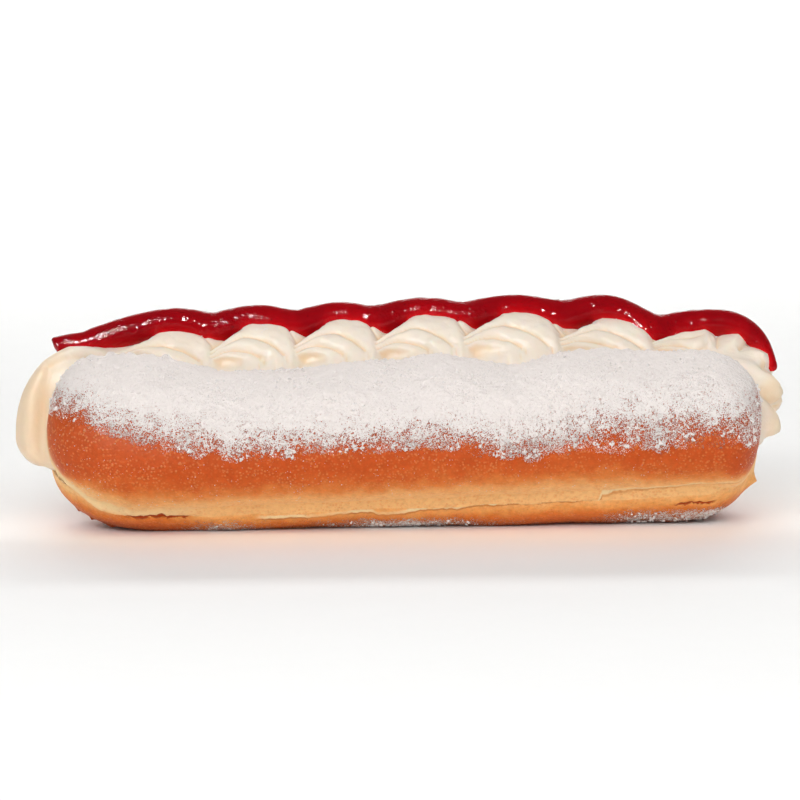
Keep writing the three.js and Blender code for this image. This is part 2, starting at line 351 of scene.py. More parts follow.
@dataclass(frozen=True)
class Ends:
    """A size that isn't the same at the two ends of the bun."""

    left: float
    right: float

    def at(self, x: np.ndarray) -> np.ndarray:
        """Returns the left size on the left half and the right size on the right half."""
        return np.where(x < 0.0, self.left, self.right)


@dataclass(frozen=True)
class Browning:
    """Where the crust is browner than its distance off the cut face tells: by how many millimetres."""

    back_left: Fade = Fade(-40.0, -62.0, 4.0)
    on_back: Fade = Fade(0.0, -2.0)
    on_front: Fade = Fade(0.0, 1.5)
    rims: tuple[Fade, ...] = (Fade(-66.0, -82.0, 8.0), Fade(72.0, 83.0, 8.0))
    rims_above: Fade = Fade(11.0, 18.0)
    front_right: Fade = Fade(42.0, 64.0, 1.5)

    def at(self, x: np.ndarray, z: np.ndarray, waist: np.ndarray) -> np.ndarray:
        """Returns the waist's distance moved away from 0 by all that applies at each place."""
        back = self.back_left.at(x) * self.on_back.at(waist)
        rims = summed(self.rims, x) * self.rims_above.at(z)
        return waist - back + (rims + self.front_right.at(x)) * self.on_front.at(waist)


@dataclass(frozen=True)
class SugarCoat:
    """Icing sugar on the crust: over the front half, and in smears picked up underneath."""

    border: float = 25.0
    border_climbs: tuple[Fade, ...] = (Fade(-54.0, -83.0, 6.6), Fade(-36.0, -56.0, 1.6))
    tongues: tuple[Bell, ...] = (Bell(-1.2, -36.0, 11.0), Bell(-2.0, 29.0, 9.0),
                                 Bell(-0.6, 52.0, 5.0), Bell(0.8, 2.0, 8.0))
    wander: Ripple = Ripple(0.5, 9.0, 3)
    reach: float = 4.6
    thinning: Ends = Ends(5.2, 8.2)
    thinning_change: Fade = Fade(20.0, 60.0)
    fullest: float = 1.07
    steepness: float = 1.6
    barer_ends: Fade = Fade(80.5, 84.0, 0.4)
    smears: tuple[Bell, ...] = (Bell(0.5, -43.0, 8.0), Bell(0.68, -1.0, 19.0), Bell(0.35, 73.0, 4.5))
    right_smear: Span = Span(Fade(42.0, 54.0), Fade(84.0, 76.0))
    right_smear_share: float = 0.5
    smear_top: float = 1.2
    right_smear_climb: float = 1.4
    smears_up: Fade = Fade(2.8, 0.0)
    smears_back: Fade = Fade(2.0, -8.0)
    depth: float = 0.22
    heaped: Fade = Fade(0.35, 0.95)
    lumps: tuple[Ripple, ...] = (Ripple(0.12, 3.4, 7), Ripple(0.10, 1.9, 8))
    lumpier_lip: Fade = Fade(2.7, 3.0, 1.8)

    def on_front(self, points: np.ndarray, x: np.ndarray) -> np.ndarray:
        """Share of the front half that is hidden.

        It nears its full value on a bell curve of the height over the border, which is higher at the
        left end and hangs down in a few tongues.
        """
        border = self.border + summed(self.border_climbs, x) + summed(self.tongues, x)
        above = points[..., 2] - border - self.wander.at(points) + self.reach
        thinning = mix(self.thinning.left, self.thinning.right, self.thinning_change.at(x))
        share = 1.0 - np.exp(-((np.maximum(above, 0.0) / thinning) ** self.steepness))
        return self.fullest * share * (1.0 - self.barer_ends.at(np.abs(x)))

    def underneath(self, points: np.ndarray, x: np.ndarray) -> np.ndarray:
        """Share that the smears hide: bells along the bun that fade upwards and to the back."""
        right = self.right_smear.at(x)
        share = summed(self.smears, x) + self.right_smear_share * right
        up = points[..., 2] - self.smear_top - self.right_smear_climb * right
        return share * self.smears_up.at(up) * self.smears_back.at(points[..., 1])

    def thickness(self, points: np.ndarray, cover: np.ndarray, turn: np.ndarray) -> np.ndarray:
        """How thick the powder lies: a depth with lumps on it, which are larger at the lip."""
        lumps = summed(self.lumps, points) * (1.0 + self.lumpier_lip.at(turn))
        return self.heaped.at(cover) * (self.depth + lumps)


@dataclass(frozen=True)
class HingeTear:
    """The torn edge along the hinge, and the two cracks beside it.

    The edge runs at a distance off the cut faces that changes straight along the bun, with one step
    up near the right end; the cracks follow the front half's cut face. All wander on waves.
    """

    low_run: tuple[float, float] = (-30.0, 45.0)
    low_off: tuple[float, float] = (-6.9, -4.2)
    high_run: tuple[float, float] = (45.0, 80.0)
    high_off: tuple[float, float] = (1.8, 4.0)
    step: Fade = Fade(43.5, 46.5)
    drift: Ripple = Ripple(0.45, 11.0, 13)
    fine: tuple[Ripple, ...] = (Ripple(0.2, 3.1, 14), Ripple(0.12, 1.3, 17))
    edge_wander: float = 0.7
    torn: Span = Span(Fade(-36.0, -33.0), Fade(81.0, 74.0))
    fainter: Fade = Fade(46.0, 52.0, 0.45)
    seam: Span = Span(Fade(-85.0, -78.0), Fade(-44.0, -56.0), 0.16)
    left_crack: Span = Span(Fade(-68.0, -61.0), Fade(-49.0, -53.5), 0.65)
    right_crack: Span = Span(Fade(62.0, 65.0), Fade(75.0, 71.0), 0.6)
    crack_off: float = -0.1
    crack_wander: float = 1.6
    crack_sinks: Fade = Fade(56.0, 64.0, 2.4)
    crumbs: Fade = Fade(-44.0, -58.0, 0.7)
    crumb_off: float = 1.2
    crumb_width: float = 1.7
    towards_lip: Fade = Fade(2.5, 4.5)
    towards_back: Fade = Fade(4.0, 8.0)
    far_off: float = 60.0
    flap: Span = Span(Fade(-0.4, 0.15), Fade(1.5, 0.3), 0.24)
    crumb_lift: float = 0.3
    crack_depth: float = 0.7
    crack_width: tuple[float, float] = (0.15, 0.45)
    fillet: Bell = Bell(1.0, 0.3, 1.1)
    fillet_end: Fade = Fade(-64.0, -72.0)

    def marks(self, x: np.ndarray, off: np.ndarray, waist: np.ndarray,
              away: np.ndarray) -> dict[str, np.ndarray]:
        """How far places lie from the torn edge and from the cracks.

        Args:
            x: stations along the bun.
            off: distances off the front half's cut face.
            waist: distances off the cut face of the place's own half.
            away: shares, 1 where a place is too far from the hinge to be near any mark.

        Returns:
            Distances "edge" and "gap" in millimetres; shares "opening" of the cracks, "crumb" of
            ragged crumb over the left one, and "torn" of the edge that is there.
        """
        line = np.stack([x, 0.0 * x, 0.0 * x], -1)
        fine = summed(self.fine, line)
        wander = self.drift.at(line) + fine
        opening = np.maximum(self.seam.at(x) + self.left_crack.at(x), self.right_crack.at(x))
        centre = self.crack_off + self.crack_wander * fine * opening - self.crack_sinks.at(x)
        crumb = hump(off, self.crumb_off * (1.0 + wander), self.crumb_width)
        low = np.interp(x, self.low_run, self.low_off)
        high = np.interp(x, self.high_run, self.high_off)
        edge = waist - mix(low, high, self.step.at(x)) - self.edge_wander * wander
        return {"edge": edge + self.far_off * away, "gap": off - centre + self.far_off * away,
                "opening": opening, "crumb": crumb * self.crumbs.at(x) * (1.0 - away),
                "torn": self.torn.at(x) * (1.0 - self.fainter.at(x))}

    def relief(self, x: np.ndarray, marks: dict[str, np.ndarray]) -> np.ndarray:
        """Height of the torn edge and the crumbs, less the cracks, with dough filled in at the left."""
        narrow, widening = self.crack_width
        crack = marks["opening"] * hump(marks["gap"], 0.0, narrow + widening * marks["opening"])
        torn = self.flap.at(marks["edge"]) * marks["torn"]
        filled = self.fillet.at(marks["gap"]) * self.fillet_end.at(x)
        return torn + self.crumb_lift * marks["crumb"] - self.crack_depth * crack + filled


@dataclass
class Bun:
    """The fried dough: two D-shaped halves that meet in an uncut web, low at the front."""

    stance: Stance
    sugar: SugarCoat = SugarCoat()
    tear: HingeTear = HingeTear()
    browning: Browning = Browning()
    front_dome: float = 17.0
    lip_corners: Ends = Ends(11.5, 18.4)
    front_hinge_corners: Ends = Ends(25.0, 7.0)
    back_hinge_corners: Ends = Ends(25.0, 15.0)
    front_dome_corners: Ends = Ends(24.4, 11.0)
    back_dome_corners: Ends = Ends(24.4, 24.0)
    lip_drop: float = 1.7
    lip_taper: float = 2.2
    lip_dips: tuple[Bell, ...] = (Bell(4.2, -35.0, 27.0), Bell(2.3, 9.0, 25.0), Bell(0.6, -42.0, 3.0),
                                  Bell(2.4, 26.5, 7.5), Bell(1.0, 60.0, 13.0))
    lip_swells: tuple[Bell, ...] = (Bell(1.3, -60.0, 9.0), Bell(0.7, -7.0, 8.0), Bell(1.6, 7.5, 6.0))
    swell_along: tuple[tuple[float, float, float], ...] = ((0.016, 9.5, 1.0), (0.012, 17.0, 2.1))
    swell_around: tuple[float, float] = (0.012, 13.0)
    unevenness: tuple[Ripple, ...] = (Ripple(0.16, 17.0, 5), Ripple(0.05, 6.0, 6))
    ragged: Ripple = Ripple(0.2, 2.1, 16)
    ragged_band: Bell = Bell(1.0, 1.5, 2.5)
    ragged_left: Fade = Fade(-42.0, -58.0)
    torn_tip: tuple[float, float, float] = (82.2, -4.0, 9.7)
    torn_tip_length: float = 2.0
    torn_tip_width: float = 1.7
    torn_tip_power: float = 1.5
    body_step: float = 0.62
    cap_length: float = 9.0
    cap_steps: int = 16
    hinge_turn: float = 0.5
    hinge_steps: int = 42
    dome_steps: int = 78
    face_steps: int = 14
    cut_tolerance: float = 0.02

    def face_edges(self, half: Half, x: np.ndarray) -> tuple[np.ndarray, np.ndarray]:
        """Returns where a cut face starts and ends across the bun, at the hinge and at the lip.

        Both ends are rounded. The front lip is narrower than the back one by a drop with dips,
        swells and a straight taper along the bun.
        """
        front = half is Half.FRONT
        width, length = self.stance.half_width, self.stance.half_length
        corners = self.front_hinge_corners if front else self.back_hinge_corners
        hinge = width * (1.0 - rounded_end(x, length, corners.at(x), 2.0))
        waves = summed(self.lip_dips, x) - summed(self.lip_swells, x)
        drop = self.lip_drop + waves + self.lip_taper * x / length if front else 0.0
        return hinge, width + (width - drop) * rounded_end(x, length, self.lip_corners.at(x), 2.0)

    def swelling(self, x: np.ndarray, turn: np.ndarray, phase: float) -> np.ndarray:
        """Slow swelling of a dome: three sine waves along and around it, about 1."""
        size, length = self.swell_around
        around = size * np.sin(2.0 * turn + x / length + phase)
        return 1.0 + around + sum(size * np.sin(x / length + shift * phase)
                                  for size, length, shift in self.swell_along)

    def dome(self, half: Half, x: np.ndarray, turn: np.ndarray,
             lift: np.ndarray = 0.0) -> np.ndarray:
        """Places on a dome: a superellipse over the cut face, from the hinge edge to the lip.

        Args:
            half: which half of the bun.
            x: stations along the bun.
            turn: angles from 0 at the hinge to pi at the lip.
            lift: height added off the dome, which fades out at both edges.

        Returns:
            The places, in millimetres.
        """
        stance = self.stance
        front = half is Half.FRONT
        hinge, lip = self.face_edges(half, x)
        height = self.front_dome if front else stance.back_dome_at(x)
        corners = self.front_dome_corners if front else self.back_dome_corners
        power = stance.squareness
        rise = height * rounded_end(x, stance.half_length, corners.at(x), power)
        c, s = np.cos(turn), np.maximum(np.sin(turn), 0.0)
        half_face = (lip - hinge) / 2.0
        across = (hinge + lip) / 2.0 - half_face * np.sign(c) * np.abs(c) ** (2.0 / power)
        off = rise * s ** (2.0 / power) * self.swelling(x, turn, half.value)
        reach = np.hypot(half_face, rise) + TINY
        across = across - lift * c * half_face / reach
        off = off + lift * s * np.minimum(1.0, 6.0 * s) * rise / reach
        return stance.place(x, stance.tilt_of(half), across - stance.web, half.value * off)

    def stations(self) -> np.ndarray:
        """Stations along the bun: even in the middle and on a cosine over the two ends."""
        end = self.stance.half_length
        cap = end - self.cap_length * (1.0 - np.cos(np.linspace(0.0, np.pi / 2, self.cap_steps + 1)))
        cap = cap[:-1]
        body = np.arange(-end + self.cap_length, end - self.cap_length, self.body_step)
        return np.concatenate([-cap, body, cap[::-1]])

    def is_front(self, points: np.ndarray) -> np.ndarray:
        """Tells places on the front half: past the slice's middle, or under its own cut face."""
        _, p, q = self.stance.measure(points, self.stance.middle)
        off = self.stance.measure(points, self.stance.tilt_of(Half.FRONT))[2]
        return np.where(p < 0.0, off > -self.cut_tolerance, q > 0.0)

    def waist(self, points: np.ndarray) -> np.ndarray:
        """Distance of places off the cut face of their half: plus at the front, minus behind."""
        front = self.stance.measure(points, self.stance.tilt_of(Half.FRONT))[2]
        back = self.stance.measure(points, self.stance.tilt_of(Half.BACK))[2]
        return np.where(self.is_front(points), front, back)

    def toasting(self, points: np.ndarray) -> np.ndarray:
        """Distance off the cut face that sets the browning at each place."""
        return self.browning.at(points[..., 0], points[..., 2], self.waist(points))

    def sugar_cover(self, points: np.ndarray) -> np.ndarray:
        """Share of the crust that sugar hides at each place, from 0 to a little over 1."""
        x = points[..., 0] - self.stance.shift_x
        return np.where(self.is_front(points), self.sugar.on_front(points, x),
                        self.sugar.underneath(points, x))

    def hinge_marks(self, points: np.ndarray) -> dict[str, np.ndarray]:
        """The hinge's torn edge and cracks at each place.

        Places that lie far from the hinge along either cut face count as away from all of them.
        """
        x, along, off = self.stance.measure(points, self.stance.tilt_of(Half.FRONT))
        behind = self.stance.measure(points, self.stance.tilt_of(Half.BACK))[1]
        along = along + self.stance.web - self.face_edges(Half.FRONT, x)[0]
        behind = behind + self.stance.web - self.face_edges(Half.BACK, x)[0]
        away = np.maximum(self.tear.towards_lip.at(along), self.tear.towards_back.at(behind))
        return self.tear.marks(x, off, self.waist(points), away)

    def shell(self, half: Half) -> Shell:
        """One half as a closed shell: its dome, with relief, and its flat cut face."""
        x = self.stations()[:, None]
        near_hinge = np.linspace(0.0, self.hinge_turn, self.hinge_steps + 1)[:-1]
        turn = np.append(near_hinge, np.linspace(self.hinge_turn, np.pi, self.dome_steps + 1))[None]
        x, turn = np.broadcast_arrays(x, turn)
        plain = self.dome(half, x, turn)
        lift = summed(self.unevenness, plain) + self.tear.relief(x, self.hinge_marks(plain))
        if half is Half.FRONT:
            band = self.ragged_band.at(self.waist(plain)) * self.ragged_left.at(x)
            lift = lift + self.sugar.thickness(plain, self.sugar_cover(plain), turn)
            lift = lift + band * self.ragged.at(plain)
        skin = self.dome(half, x, turn, lift)
        if half is Half.BACK:
            near = np.linalg.norm(skin - self.torn_tip, axis=-1) / self.torn_tip_width
            skin[..., 0] += self.torn_tip_length * np.exp(-(near**self.torn_tip_power))
        hinge, lip = self.face_edges(half, x[:, :1])
        share = (np.arange(1, self.face_steps) / self.face_steps)[None, :]
        across = mix(lip, hinge, share) - self.stance.web
        face = self.stance.place(x[:, :1], self.stance.tilt_of(half), across, 0.0 * across)
        return Shell.loft(np.concatenate([skin, face], 1))

    def joined(self) -> bpy.types.Mesh:
        """Joins the shells of the two halves at the web into one mesh."""
        halves = {half: self.shell(half).mesh("half_" + half.name.lower()) for half in Half}
        objects = {half: bpy.data.objects.new(mesh.name, mesh) for half, mesh in halves.items()}
        for item in objects.values():
            bpy.context.scene.collection.objects.link(item)
        union = objects[Half.FRONT].modifiers.new("join", "BOOLEAN")
        union.operation, union.solver = "UNION", "MANIFOLD"
        union.object = objects[Half.BACK]
        graph = bpy.context.evaluated_depsgraph_get()
        mesh = bpy.data.meshes.new_from_object(objects[Half.FRONT].evaluated_get(graph))
        mesh.name = "bun_dough"
        mesh.materials.clear()
        for half in Half:
            bpy.data.objects.remove(objects[half])
            bpy.data.meshes.remove(halves[half])
        return mesh

    def build(self, crust: bpy.types.Material, crumb: bpy.types.Material) -> bpy.types.Object:
        """Makes the dough and dresses its skin as crust and its cut faces as crumb."""
        mesh = self.joined()
        points = read_places(mesh.vertices, "co")
        write_values(mesh, {"waist": self.toasting(points), "cover": self.sugar_cover(points),
                            **self.hinge_marks(points)})
        piece = finish_piece(mesh, [crust, crumb], ["bun"])
        centre = read_places(mesh.polygons, "center")
        p = self.stance.measure(centre, self.stance.middle)[1]
        cut = (np.abs(self.waist(centre)) < self.cut_tolerance) & (p > 0.0)
        mesh.polygons.foreach_set("material_index", cut.astype(np.int32))
        mesh.shade_smooth()
        mesh.set_sharp_from_angle(angle=SHARP_EDGE)
        return piece


# ---- The cream


@dataclass(frozen=True)
class EndCap:
    """A rounded end of the cream: sections are drawn in towards a point on the slice's middle."""

    start: float
    end: float
    p: float
    power: float


@dataclass(frozen=True)
class PipedTurn:
    """One turn of piping: nested arched ridges that lean over to the right.

    Places are given as a share of the turn's length and a rise that is 0 at the lip and 1 over the
    top. An arch is a superelliptic length from a point that moves to the right with the rise.
    """

    height: float = 5.0
    ridge_height: float = 2.1
    ridges: float = 4.0
    pocket_depth: float = 2.2
    lean: tuple[float, float, float] = (0.08, 0.12, 0.36)
    reach: Ends = Ends(0.34, 0.95)
    power: Ends = Ends(2.2, 1.5)
    arch_top: float = 0.97
    body_top: float = 1.3
    body: Fade = Fade(1.17, 0.9)
    climb: Fade = Fade(0.2, 0.95, 0.28)
    left_fall: Fade = Fade(0.2, 1.1, 0.25)
    pocket: Fade = Fade(0.34, 0.0)
    last_ridge: float = 1.16
    ridges_from: Fade = Fade(0.22, 0.42)

    def relief(self, share: np.ndarray, rise: np.ndarray) -> np.ndarray:
        """Height of the turn over the rope: a body that climbs outwards, ridges, and a pocket."""
        still, slope, curl = self.lean
        along = share - (still + slope * rise + curl * rise**2)
        across = along / self.reach.at(along)
        power = self.power.at(along)
        arch = norm(across, rise / self.arch_top, power)
        body = self.body.at(norm(across, rise / self.body_top, power))
        climb = 1.0 - self.climb.height + self.climb.at(arch) - self.left_fall.at(-across)
        ridges = self.ridge_height * ridged(arch / self.last_ridge * self.ridges) * body
        ridges = ridges * self.ridges_from.at(arch)
        return self.height * body * climb + ridges - self.pocket_depth * self.pocket.at(arch)


@dataclass(frozen=True)
class Fan:
    """The right end of the cream: pointed ridges round a pivot, with one notch."""

    x: float = 74.3
    p: float = 21.0
    radius: float = 8.7
    rise: float = 2.7
    lobe: float = 34.0 * DEG
    first: float = 87.0 * DEG
    crest: float = 0.66
    climb_power: float = 0.8
    drop_power: float = 0.6
    mean: float = 0.62
    notch: Bell = Bell(1.5, -17.0 * DEG, 7.0 * DEG)
    outside: Fade = Fade(98.0 * DEG, 84.0 * DEG)
    past_bun: Fade = Fade(83.0, 87.0)
    begins: Fade = Fade(65.0, 73.0)
    off_pivot: Fade = Fade(3.0, 9.0)

    def push(self, x: np.ndarray, p: np.ndarray, angle: np.ndarray) -> np.ndarray:
        """How far the ridges stand out from the pivot, or sink to it.

        Round the pivot each ridge climbs slowly to its crest and then drops back at once, like the
        teeth of a saw, and one notch goes deeper. Inside the slice there are none.
        """
        dx, dp = x - self.x, p - self.p
        around = np.arctan2(dp, dx)
        share = (self.first - around) / self.lobe
        share = share - np.floor(share)
        climb = np.clip(share / self.crest, 0.0, 1.0) ** self.climb_power
        drop = np.clip((1.0 - share) / (1.0 - self.crest), 0.0, 1.0) ** self.drop_power
        free = np.maximum(self.outside.at(np.abs(angle)), self.past_bun.at(x))
        grown = self.begins.at(x) * self.off_pivot.at(np.hypot(dx, dp)) * free
        return (self.rise * (np.minimum(climb, drop) - self.mean) - self.notch.at(around)) * grown


@dataclass(frozen=True)
class Tail:
    """The left end of the cream: smooth, and hanging, with one crest and one groove on each flank."""

    x: float = -74.0
    p: float = 18.0
    radius: float = 11.6
    drop: float = 5.4
    crest: float = 14.7
    crest_spread: Fade = Fade(0.0, -12.0, 3.5)
    profile: tuple[Bell, ...] = (Bell(1.5, 0.0, 2.3), Bell(-1.35, -3.6, 1.4))
    outside: Fade = Fade(92.0 * DEG, 80.0 * DEG)
    past_bun: Fade = Fade(-83.6, -85.6)
    begins: Fade = Fade(-64.0, -74.0)

    def push(self, x: np.ndarray, p: np.ndarray, angle: np.ndarray) -> np.ndarray:
        """How far the flanks stand out.

        Crest and groove are bell curves of the distance from a pivot, so they run parallel to the
        outline; low down they leave the pivot and near the edge. Inside the slice there are none.
        """
        dx, dp = x - self.x, p - self.p
        away = np.hypot(dx, dp) - self.crest - self.crest_spread.at(dp)
        free = np.maximum(self.outside.at(np.abs(angle)), self.past_bun.at(x))
        return summed(self.profile, away) * free * self.begins.at(x)


@dataclass
class CreamRope:
    """Whipped cream piped as a rope of turns, each a nest of arched ridges, over a wedge."""

    bun: Bun
    turn: PipedTurn = PipedTurn()
    tail: Tail = Tail()
    fan: Fan = Fan()
    gap: float = 0.3
    left: float = -92.2
    right: float = 89.6
    depth: float = 29.5
    valley_radius: float = 9.7
    flank_fall: float = 2.3
    flank_flatness: float = 0.35
    pitch: float = 21.06
    pitch_wander: float = 1.6
    wander_turns: float = 5.0
    first_valley: float = -45.6
    first_turn: int = -1
    last_turn: int = 5
    swell: Bell = Bell(1.2, 18.0, 34.0)
    sink: Fade = Fade(48.0, 70.0, 3.8)
    lump_drop: float = 1.1
    lump_drops: tuple[Bell, ...] = (Bell(1.6, -56.0, 12.0), Bell(1.6, 46.0, 11.0))
    on_lump: Fade = Fade(0.0, 4.0)
    tail_share: Fade = Fade(-66.0, -80.0)
    fan_share: Fade = Fade(64.0, 76.0)
    into_slice: Fade = Fade(104.0 * DEG, 124.0 * DEG)
    over_lip: float = 7.0
    lip_angle: float = 91.5 * DEG
    foot_angle: float = 100.0 * DEG
    top_angle: float = 34.0 * DEG
    root_inset: float = 0.6
    root_least: float = 1.5
    root_most: Ends = Ends(6.0, 3.6)
    flank_start: float = 3.0
    unevenness: tuple[Ripple, ...] = (Ripple(0.10, 7.0, 21), Ripple(0.05, 2.6, 22))
    open_air: Fade = Fade(92.0 * DEG, 84.0 * DEG)
    smear_place: tuple[float, float, float] = (91.2, -6.0, 28.0)
    smear_size: tuple[float, float, float] = (1.6, 3.0, 1.3)
    left_cap: EndCap = EndCap(76.0, 92.2, 15.8, 2.15)
    right_cap: EndCap = EndCap(74.0, 89.6, 17.1, 2.4)
    body_steps: int = 560
    cap_length: float = 8.0
    cap_steps: int = 18
    mouth_steps: int = 124
    inside_steps: int = 26

    def valley_at(self, turn: float) -> float:
        """Station of the valley before a turn, at a pitch that wanders on a cosine."""
        wander = self.pitch_wander * (1.0 - math.cos(2.0 * math.pi * turn / self.wander_turns))
        return self.first_valley + self.pitch * turn - wander

    def rise_of(self, angle: np.ndarray) -> np.ndarray:
        """Height round the rope: 0 at the foot beside the lip and 1 over the top, on a cosine."""
        low = math.cos(self.foot_angle - self.top_angle)
        here = np.cos(np.maximum(np.abs(angle), self.top_angle) - self.top_angle)
        return (here - low) / (1.0 - low)

    def wall_distance(self, angle: np.ndarray) -> np.ndarray:
        """Distance from the rope's axis to the wall of the slice, at angles past the lip."""
        half = self.bun.stance.opening / 2.0
        side = self.depth * math.tan(half) - self.gap / math.cos(half)
        return side / (np.sin(angle) - np.cos(angle) * math.tan(half))

    def arch_at(self, x: np.ndarray) -> np.ndarray:
        """The rope swells in the middle of the bun and sinks towards the right end."""
        return self.swell.at(x) - self.sink.at(x)

    def turns_at(self, x: np.ndarray, angle: np.ndarray) -> np.ndarray:
        """Height of the highest turn at each place, from one valley to the next."""
        rise = self.rise_of(angle)
        height = np.zeros(np.broadcast_shapes(np.shape(x), np.shape(angle)))
        for turn in range(self.first_turn, self.last_turn + 1):
            start, end = self.valley_at(turn), self.valley_at(turn + 1)
            height = np.maximum(height, self.turn.relief((x - start) / (end - start), rise))
        return height

    def radius(self, x: np.ndarray, angle: np.ndarray) -> np.ndarray:
        """Radius of the cream about the rope's axis.

        Turns stand on the rope between its smooth left end and its fanned right end, lower than the
        jam's path asks, most in the first and the fifth; inside the slice it follows the walls, and
        it never reaches past them.
        """
        flank = np.sin(angle) ** 2
        rise = self.turns_at(x, angle) * (1.0 - self.flank_flatness * flank)
        piped = self.valley_radius - self.flank_fall * flank + rise + self.arch_at(x)
        piped = piped - (self.lump_drop + summed(self.lump_drops, x)) * self.on_lump.at(rise)
        smooth = self.tail.radius - self.tail.drop * np.maximum(0.0, np.cos(angle)) ** 2
        open_side = mix(piped, smooth, self.tail_share.at(x))
        open_side = mix(open_side, self.fan.radius, self.fan_share.at(x))
        wall = self.wall_distance(np.maximum(np.abs(angle), self.lip_angle))
        over_lip = self.over_lip * np.maximum(0.0, self.lip_angle - np.abs(angle))
        inside = self.into_slice.at(np.abs(angle))
        return np.minimum(mix(open_side, wall, inside), wall + over_lip)

    def cap_scale(self, x: np.ndarray, margins: Ends = Ends(0.0, 0.0)
                  ) -> tuple[np.ndarray, np.ndarray]:
        """Returns how far a section is drawn in at the ends, and the p of the point it goes to."""
        scales = [
            rounded_end(x, cap.end + margin, cap.end + margin - cap.start, cap.power)
            for cap, margin in ((self.left_cap, margins.left), (self.right_cap, margins.right))
        ]
        left = x < 0.0
        return np.where(left, *scales), np.where(left, self.left_cap.p, self.right_cap.p)

    def point(self, x: np.ndarray, angle: np.ndarray, off: np.ndarray = 0.0) -> np.ndarray:
        """Places on the cream, or at a distance off it.

        The section is polar about the rope's axis, cut off at the root of the slice, drawn in at
        both ends, pushed sideways on the flanks of the left end, and pushed straight away from the
        fan's pivot at the right end.
        """
        x, angle = np.broadcast_arrays(x, angle)
        stance = self.bun.stance
        radius = self.radius(x, angle) + off
        hinge = self.bun.face_edges(Half.BACK, x)[0]
        root = hinge - self.root_inset * stance.web
        root = np.clip(root, self.root_least, self.root_most.at(x))
        down = -np.cos(angle)
        limit = (self.depth - root + off) / np.maximum(down, TINY)
        radius = np.where(down > 0.0, np.minimum(radius, limit), radius)
        scale, centre = self.cap_scale(x)
        p = centre + (self.depth + radius * np.cos(angle) - centre) * scale
        q = radius * np.sin(angle) * scale
        q = q + self.tail.push(x, p, angle) * np.clip(q / self.flank_start, -1.0, 1.0)
        dx, dp = x - self.fan.x, p - self.fan.p
        push = self.fan.push(x, p, angle) / (np.sqrt(dx**2 + dp**2 + q**2) + TINY)
        return stance.place(x + push * np.maximum(dx, 0.0), stance.middle,
                            p + push * dp, q + push * q)

    def shell(self) -> Shell:
        """The whole rope as a closed shell, finer over the mouth than inside the slice."""
        turn = np.linspace(0.0, np.pi / 2, self.cap_steps + 1)[:-1]
        cap = self.cap_length * (1.0 - np.cos(turn))
        body = np.linspace(self.left + self.cap_length, self.right - self.cap_length,
                           self.body_steps + 1)
        x = np.concatenate([self.left + cap, body, (self.right - cap)[::-1]])[:, None]
        lip = self.lip_angle
        mouth = np.linspace(-lip, lip, self.mouth_steps + 1)[:-1]
        inside = np.linspace(lip, 2.0 * np.pi - lip, self.inside_steps + 1)[:-1]
        angle = np.concatenate([mouth, np.where(inside > np.pi, inside - 2.0 * np.pi, inside)])[None]
        uneven = summed(self.unevenness, self.point(x, angle))
        rings = self.point(x, angle, uneven * self.open_air.at(np.abs(angle)))
        shell = Shell.loft(rings)
        # painted shade values: how deep each place lies in the hollows, and how sharply the creases fold
        for name, value in (("painted_hollow_shade", self.painted_hollow_shade(x, angle)), ("painted_crease_shade", painted_crease_shade(rings))):
            shell.values[name] = np.append(value[1:-1].reshape(-1), [0.0, 0.0])
        away = (shell.points - self.smear_place) / self.smear_size
        shell.values["smear"] = np.exp(-(away**2).sum(-1))
        return shell

    def painted_hollow_shade(self, x: np.ndarray, angle: np.ndarray) -> np.ndarray:
        """Painted shade: how far the surface lies below its own average over a few millimetres, 0 to 1.

        It only counts along the piped part of the mouth; both ends get a painted shade of their own.
        """
        shifts, turns = 0.8 * np.arange(-4.0, 5.0, 2.0), 0.06 * np.arange(-4.0, 5.0, 2.0)
        mean = sum(self.radius(x + shift, angle + turn) for shift in shifts for turn in turns)
        mean = mean / (len(shifts) * len(turns))
        piped = Span(Fade(-74.0, -62.0), Fade(76.0, 64.0)).at(x)
        mouth = Fade(100.0 * DEG, 88.0 * DEG).at(np.abs(angle))
        behind = Fade(75.0 * DEG, 100.0 * DEG).at(np.abs(angle))
        # painted shade: the left tail and the back of the right end are darkened as if in shade
        ends = Fade(-76.0, -86.0, 0.3).at(x) + Fade(84.0, 88.0, 0.25).at(x) * behind
        return Fade(0.1, 2.4).at(mean - self.radius(x, angle)) * piped * mouth + ends

    def build(self, material: bpy.types.Material) -> bpy.types.Object:
        """Makes the cream and dresses it."""
        return finish_piece(self.shell().mesh("whipped_cream"), [material], ["cream"])


def painted_crease_shade(rings: np.ndarray) -> np.ndarray:
    """How sharply a surface made of rings folds inwards at each place, from 0 to 1, for the painted shade
    in the creases.

    A place is compared with the middle of its neighbours a few steps away along and round the rope:
    the part of the difference that points outwards, over their distance, is the fold.
    """
    stations, size = rings.shape[:2]
    fold = np.zeros((stations, size))
    outward = np.cross(np.gradient(rings, axis=0), np.roll(rings, -1, 1) - np.roll(rings, 1, 1))
    outward /= np.linalg.norm(outward, axis=-1, keepdims=True) + 1e-9
    middle = rings.mean(1, keepdims=True)
    outward *= np.sign((outward * (rings - middle)).sum((-1, -2), keepdims=True))
    for steps, share in ((2, 0.25), (6, 0.75)):
        low = np.clip(np.arange(stations) - steps, 0, stations - 1)
        high = np.clip(np.arange(stations) + steps, 0, stations - 1)
        for near, far in ((rings[low], rings[high]),
                          (np.roll(rings, steps, 1), np.roll(rings, -steps, 1))):
            rise = (((near + far) / 2.0 - rings) * outward).sum(-1)
            fold = fold + share * rise / (np.linalg.norm(far - near, axis=-1) + 0.2)
    return smoothstep(0.0, 0.26, fold)


# ---- The jam


